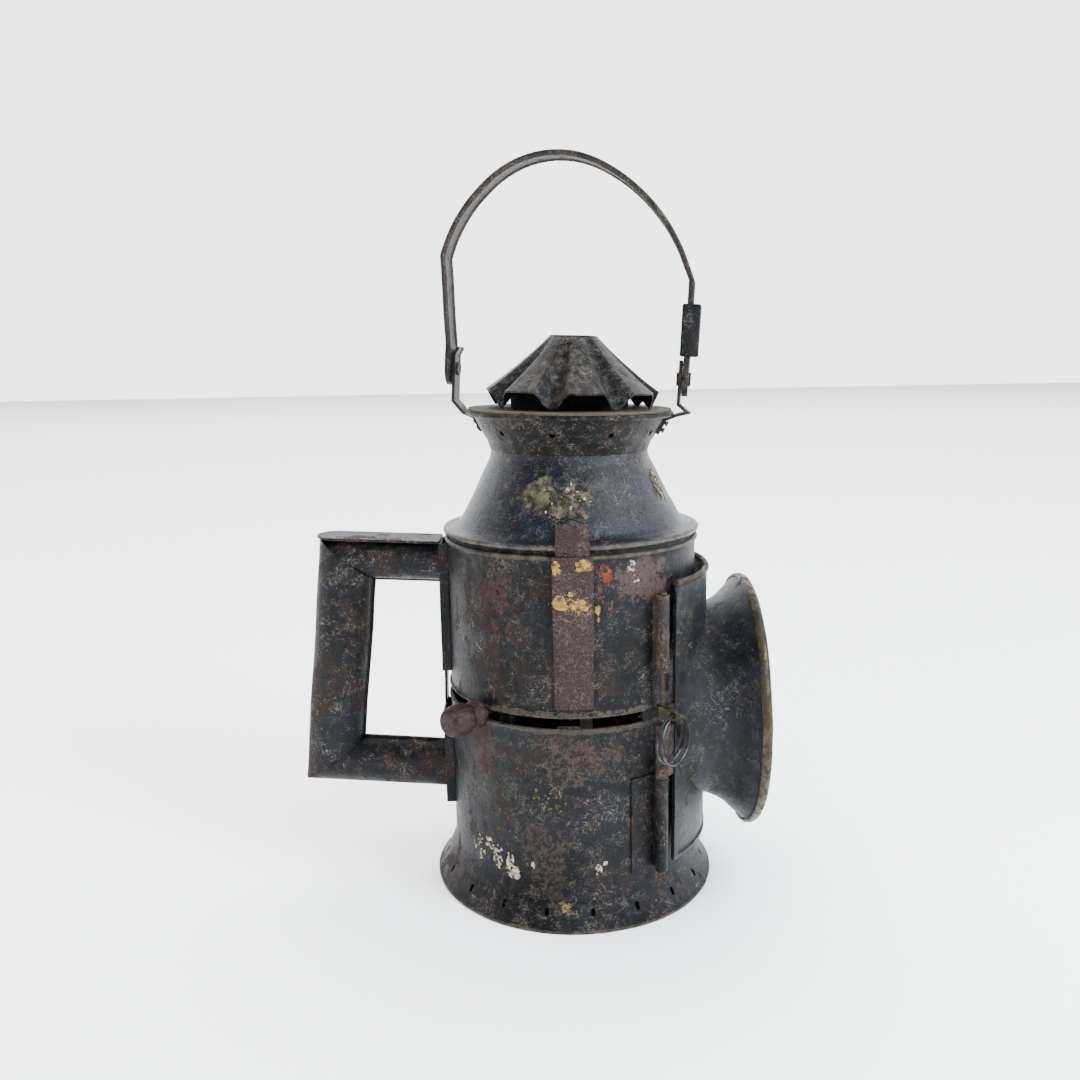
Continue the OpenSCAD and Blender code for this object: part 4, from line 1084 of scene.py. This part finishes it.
@dataclass
class LensDoor(Assembly):
    """Curved door with the bell, the rim and the bull's-eye lens.

    Attributes:
        ring_at: Where the pull ring hangs, in plan, in millimetres.
        ring_top: Height of the ring's top, in millimetres.
        ring_turn: Azimuth of the ring's axis, in degrees.
        ring_r: Radius of the ring's middle line, in millimetres.
        ring_wire: Radius of its wire, in millimetres.
    """

    ring_at: tuple[float, float] = (41.0, -55.5)
    ring_top: float = 94.6
    ring_turn: float = 50.0
    ring_r: float = 10.7
    ring_wire: float = 0.60

    def dress(self) -> None:
        """Give the nodes of the door their finishes."""
        hand_worked("door_panel", Finish.DOOR)
        hand_worked("lens_bell", Finish.DOOR)
        dress(Finish.HINGE, "door_barrel")
        dress(Finish.BRASS, "door_eye")
        hand_worked("brass_rim", Finish.BRASS, 3.0, 0.9, 1.6)
        hand_worked("door_wired_edge", Finish.HINGE)
        dress(Finish.STEEL, "door_catch")
        dress(Finish.PUTTY, "lens_putty")
        dress(Finish.CLEAR, "bulls_eye_lens")

    def build(self) -> None:
        """Replace the plain ring by two turns of wire that fan apart below the eye."""
        hang = Matrix.Translation((*self.ring_at, self.ring_top)) @ around(self.ring_turn)
        gap, steps, crossing, fan, r = 24, 88, 0.7, 1.0, self.ring_r
        path = []
        for step in range(steps + 1):
            turn = math.radians(gap + (720 - 2 * gap) * step / steps)
            side = max(-1.0, min(1.0, (turn - 2 * math.pi) / crossing))
            apart = side * (self.ring_wire + fan * (1 - math.cos(turn)) / 2)
            path.append(hang @ Vector((apart, r * math.sin(turn), r * (math.cos(turn) - 1))))
        wire = thread(path, self.ring_wire)
        piece = settle(wire, "split_ring", Finish.RING, carrier("pull_ring"), 50)
        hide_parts("pull_ring")


@dataclass
class ColourDrum(Assembly):
    """Turning cage of coloured glass with its knob."""

    def dress(self) -> None:
        """Give the nodes of the drum their finishes."""
        dress(Finish.STEEL, "drum_lower_ring", "drum_upper_ring", "drum_posts", "knob_stem")
        dress(Finish.RED, "red_glass")
        dress(Finish.GREEN, "green_glass")
        hand_worked("turning_knob", Finish.WOOD, 1.6, 0.3, 0.4)


@dataclass
class Hood(Assembly):
    """Cone, collar, plate, fluted cap, chimney and ears.

    Attributes:
        soot_shade_r: Radius of the ring round the chimney, in millimetres. Its soot black is also
            painted shade in the cap's mouths.
        soot_shade_h: Height of that ring, in millimetres.
    """

    soot_shade_r: float = 26.5
    soot_shade_h: float = 7.5

    def dress(self) -> None:
        """Give the nodes of the hood their finishes."""
        hand_worked("hood_cone", Finish.HOOD)
        hand_worked("hood_collar", Finish.COLLAR)
        hand_worked("collar_plate", Finish.PLATE)
        hand_worked("fluted_cap", Finish.CAP)
        hand_worked("latch_tongue", Finish.STRAP, 3.0, 0.2)
        dress(Finish.SOOT, "chimney")
        dress(Finish.STRAP, "hood_hinge_strap")
        dress(Finish.BAIL, "ear_grip_side", "ear_lens_side")
        dress(Finish.STEEL, "ear_rivets")

    def build(self) -> None:
        """Build the crusts on the cone and the soot-black ring of painted shade under the cap."""
        cone = "hood_cone", lambda z: along(CONE, z)
        flaked("crust_on_cone", Finish.CRUST, *cone, 51, (
            (-19, 187, 7.4, 8.4, 1.0, 0.0), (1.5, 186.5, 7.4, 8.6, 0.5, 0.40),
            (-9, 182, 4.0, 5.0, 0.5, 0.3), (3, 179, 5, 2.5, 0.35, 0.42),
            (65, 187.5, 4.5, 7.5, 0.6, 0.25),
        ))
        flaked("pale_flecks", Finish.CREAM_PAINT, *cone, 61, (
            (1.5, 187, 6.5, 7.5, 0.75, 0.62), (-16, 186, 7, 8, 1.5, 0.66),
            (65, 187.5, 4.0, 7.0, 0.9, 0.55),
        ))
        self._soot_shade_ring()

    def _soot_shade_ring(self) -> None:
        """Build the low ring that closes the view through the cap's mouths, soot black and painted
        shade.
        """
        low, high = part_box("collar_plate")
        middle = (Vector(low) + Vector(high)) / 2
        sunk, lean, wall_t = 1.6 * MM, 0.2 * MM, 0.6 * MM
        bm = bmesh.new()
        foot = Vector((middle.x + self.soot_shade_r * MM, middle.y, high[2] - sunk))
        top = foot + Vector((lean, 0, self.soot_shade_h * MM))
        ends = [bmesh.ops.create_vert(bm, co=place)["vert"][0] for place in (foot, top)]
        wall = [*ends, bm.edges.new(ends)]
        bmesh.ops.spin(
            bm, geom=wall, cent=middle, axis=(0, 0, 1), angle=2 * math.pi, steps=72,
            use_merge=True,
        )
        bmesh.ops.remove_doubles(bm, verts=bm.verts[:], dist=WELD)
        face_out(bm)
        bmesh.ops.solidify(bm, geom=bm.faces[:], thickness=wall_t)
        face_out(bm)
        # The ring's soot black is painted shade behind the cap's mouths.
        settle(bm, "soot_shade_ring", Finish.SOOT, carrier("fluted_cap"))


@dataclass
class Bail(Assembly):
    """Swinging bail with its pivots and sleeve.

    The bail is a strip with a rolled bead along each edge. Its outer line is two legs and a bow
    of three arcs. Places are given across the lamp and above the waist, in millimetres.

    Attributes:
        legs: Outer faces of the leg by the grip and of the leg by the lens.
        pivot_h: Height of the pivots.
        kink_h: Height of the bend between leg and bow.
        bow_mid: Centre of the bow's middle arc.
        bow_turns: Angles at which the middle arc meets the other two, in degrees.
        bow_radii: Radius of the middle arc, of the one by the grip and of the one by the lens.
        width: Width of the strip.
        thickness: Thickness of the beads.
        web: Thickness of the strip between them.
        cuts: Where the strip is cut on both sides, from the middle of its width.
    """

    legs: tuple[float, float] = (-57.5, 51.7)
    pivot_h: float = 33.5
    kink_h: float = 83.0
    bow_mid: tuple[float, float] = (-10.1, 83.0)
    bow_turns: tuple[float, float] = (65.5, 130.9)
    bow_radii: tuple[float, float, float] = (45.3, 69.9, 78.2)
    width: float = 15.0
    thickness: float = 2.6
    web: float = 1.1
    cuts: tuple[float, ...] = (6.9, 6.3, 5.6, 5.1, 4.7)

    def middle(self, inset: float) -> list[Vector]:
        """Return a line that runs under the strip's outer face.

        Args:
            inset: Its depth under that face, in millimetres.

        Returns:
            The line's points, from the leg by the grip to the leg by the lens.
        """
        bow, grip, lens = self.bow_radii
        low, high = self.bow_turns
        mid = Vector(self.bow_mid)
        on_grip = mid + ray(high) * (bow - grip)
        on_lens = mid + ray(low) * (bow - lens)
        grip_end = 180 - math.degrees(math.asin((self.kink_h - on_grip.y) / grip))
        lens_end = math.degrees(math.asin((self.kink_h - on_lens.y) / lens))
        left, right = self.legs[0] + inset, self.legs[1] - inset
        return [
            Vector((left, 0)),
            Vector((left, self.pivot_h + 9)),
            *arc(on_grip, grip - inset, grip_end, high),
            *arc(mid, bow - inset, high - 2, low + 2),
            *arc(on_lens, lens - inset, low, lens_end),
            Vector((right, self.pivot_h + 42)),
            Vector((right, 0)),
        ]

    def dress(self) -> None:
        """Give the nodes of the bail their finishes."""
        self.rolled_bail()
        dress(Finish.STEEL, "bail_pivots")
        hand_worked("lock_sleeve", Finish.SLEEVE, 3.0, 1.1, 0.5)

    def rolled_bail(self) -> None:
        """Replace the plain strip by one with a rolled bead along each edge."""
        bm = node_copy("bail", merge_flats=True)
        home = BAIL_FRAME.inverted()
        turn = BAIL_FRAME.to_3x3()
        for cut in (*(-c for c in self.cuts), *reversed(self.cuts)):
            plane = BAIL_FRAME @ Vector((0, cut, WAIST_Z))
            every = bm.verts[:] + bm.edges[:] + bm.faces[:]
            bmesh.ops.bisect_plane(
                bm, geom=every, plane_co=plane * MM, plane_no=turn @ Vector((0, 1, 0))
            )
        refine(bm, 3.2)
        bead = self.thickness / 2
        line = self.middle(bead)
        for vert in bm.verts:
            own = home @ (vert.co / MM)
            flat = Vector((own.x, own.z - WAIST_Z))
            spots = (self._nearest(flat, a, b) for a, b in zip(line, line[1:]))
            near = min(spots, key=lambda q: (q - flat).length)
            off = flat - near
            if off.length < 0.2:
                continue
            moved = near + off * (self._half_thickness(abs(own.y), flat.y) / bead)
            place = BAIL_FRAME @ Vector((moved.x, own.y, moved.y + WAIST_Z))
            knock = 0.22 * noise.noise(place * 0.045) + 0.10 * noise.noise(place * 0.16)
            vert.co = place * MM
            vert.co += (turn @ Vector((knock, knock * 0.5, 0))) * MM
        piece = settle(bm, "rolled_bail", Finish.BAIL, carrier("bail"), 40)
        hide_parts("bail")

    @staticmethod
    def _nearest(point: Vector, a: Vector, b: Vector) -> Vector:
        """Return the point of the straight run from a to b that lies nearest to a point."""
        share = (point - a).dot(b - a) / (b - a).length_squared
        return a + (b - a) * max(0.0, min(1.0, share))

    def _half_thickness(self, across: float, height: float) -> float:
        """Return half the strip's thickness at a place.

        Args:
            across: Distance from the middle of the strip's width.
            height: Height above the waist.

        Returns:
            Half the thickness, in millimetres.
        """
        bead = self.thickness / 2
        past = across - (self.width / 2 - bead)
        depth = max(self.web / 2, math.sqrt(max(0.0, bead * bead - past * past)))
        rolled = min(1.0, max(0.0, (height - self.pivot_h - 8) / 4))
        return bead + (depth - bead) * rolled


# Studio


@dataclass
class Studio:
    """Floor, soft lights and the camera at the photograph's angle.

    Attributes:
        floor_colour: Colour of the floor.
        floor_half: Half the floor's width, in metres.
        room: Where the room's light starts and stops growing, and its strength at both ends.
        aim: The height that the lights point at, in metres.
        eye: The camera's place, in millimetres.
        pitch: Its tilt up from looking straight down, in degrees.
        roll: Its turn about its own axis, in degrees.
        lens: Its focal length, in millimetres.
    """

    floor_colour: Colour = (0.93, 0.93, 0.925)
    floor_half: float = 6.0
    room: tuple[float, float, float, float] = (0.0, 0.8, 0.5, 3.6)
    aim: float = 0.13
    eye: Point = (-14.02, -455.38, 245.51)
    pitch: float = 79.394
    roll: float = -1.027
    lens: float = 33.29

    def build(self) -> None:
        """Build the floor, the lights and the camera."""
        self._floor()
        self._lights()
        self._camera()

    def _floor(self) -> None:
        """Lay a pale plain floor."""
        bm = bmesh.new()
        bmesh.ops.create_grid(bm, x_segments=1, y_segments=1, size=self.floor_half)
        mesh = bpy.data.meshes.new("floor")
        bm.to_mesh(mesh)
        bm.free()
        mix = Recipe("pale_floor")
        mix.set(Base_Color=self.floor_colour, Roughness=0.85)
        mesh.materials.append(mix.material)
        floor = put("floor", mesh)

    def _lights(self) -> None:
        """Light the room, brighter behind, and hang a key, a fill and one light overhead."""
        world = bpy.context.scene.world or bpy.data.worlds.new("room")
        bpy.context.scene.world = world
        world.use_nodes = True
        room = Wiring(world.node_tree)
        air = room.tree.nodes["Background"]
        air.inputs["Color"].default_value = (0.95, 0.97, 1.0, 1)
        way = room.axis(room.add("TexCoord").outputs["Generated"], "Y")
        room.fill(air, Strength=room.span(way, *self.room))
        for name, place, size, power, shows, colour in (
            ("key", (0.95, -0.60, 0.75), 0.45, 40, True, (0.80, 0.90, 1.0)),
            ("fill", (-1.1, -0.75, 0.45), 0.5, 14, False, (1.0, 0.96, 0.92)),
            ("top", (0.1, 0.6, 4.0), 7.0, 900, False, (0.96, 0.98, 1.0)),
        ):
            lamp = bpy.data.lights.new(name, "AREA")
            lamp.size, lamp.energy, lamp.color = size, power, colour
            holder = put(name, lamp)
            holder.location = place
            holder.visible_glossy = shows
            aim = Vector((0, 0, self.aim)) - Vector(place)
            holder.rotation_euler = aim.to_track_quat("-Z", "Y").to_euler()

    def _camera(self) -> None:
        """Stand the camera where the photograph was taken from."""
        camera = bpy.data.cameras.new("camera")
        camera.lens, camera.sensor_width = self.lens, 36
        camera.clip_start, camera.clip_end = 0.01, 30
        holder = put("camera", camera)
        holder.matrix_world = (
            Matrix.Translation(Vector(self.eye) * MM)
            @ Matrix.Rotation(math.radians(self.pitch), 4, "X")
            @ Matrix.Rotation(math.radians(self.roll), 4, "Z")
        )
        bpy.context.scene.camera = holder


def main() -> None:
    """Build the studio and every sub-assembly in order."""
    Studio().build()
    for part in (LampBody(), Grip(), LensDoor(), ColourDrum(), Hood(), Bail()):
        part.dress()
        part.build()


if __name__ == "__main__":
    main()
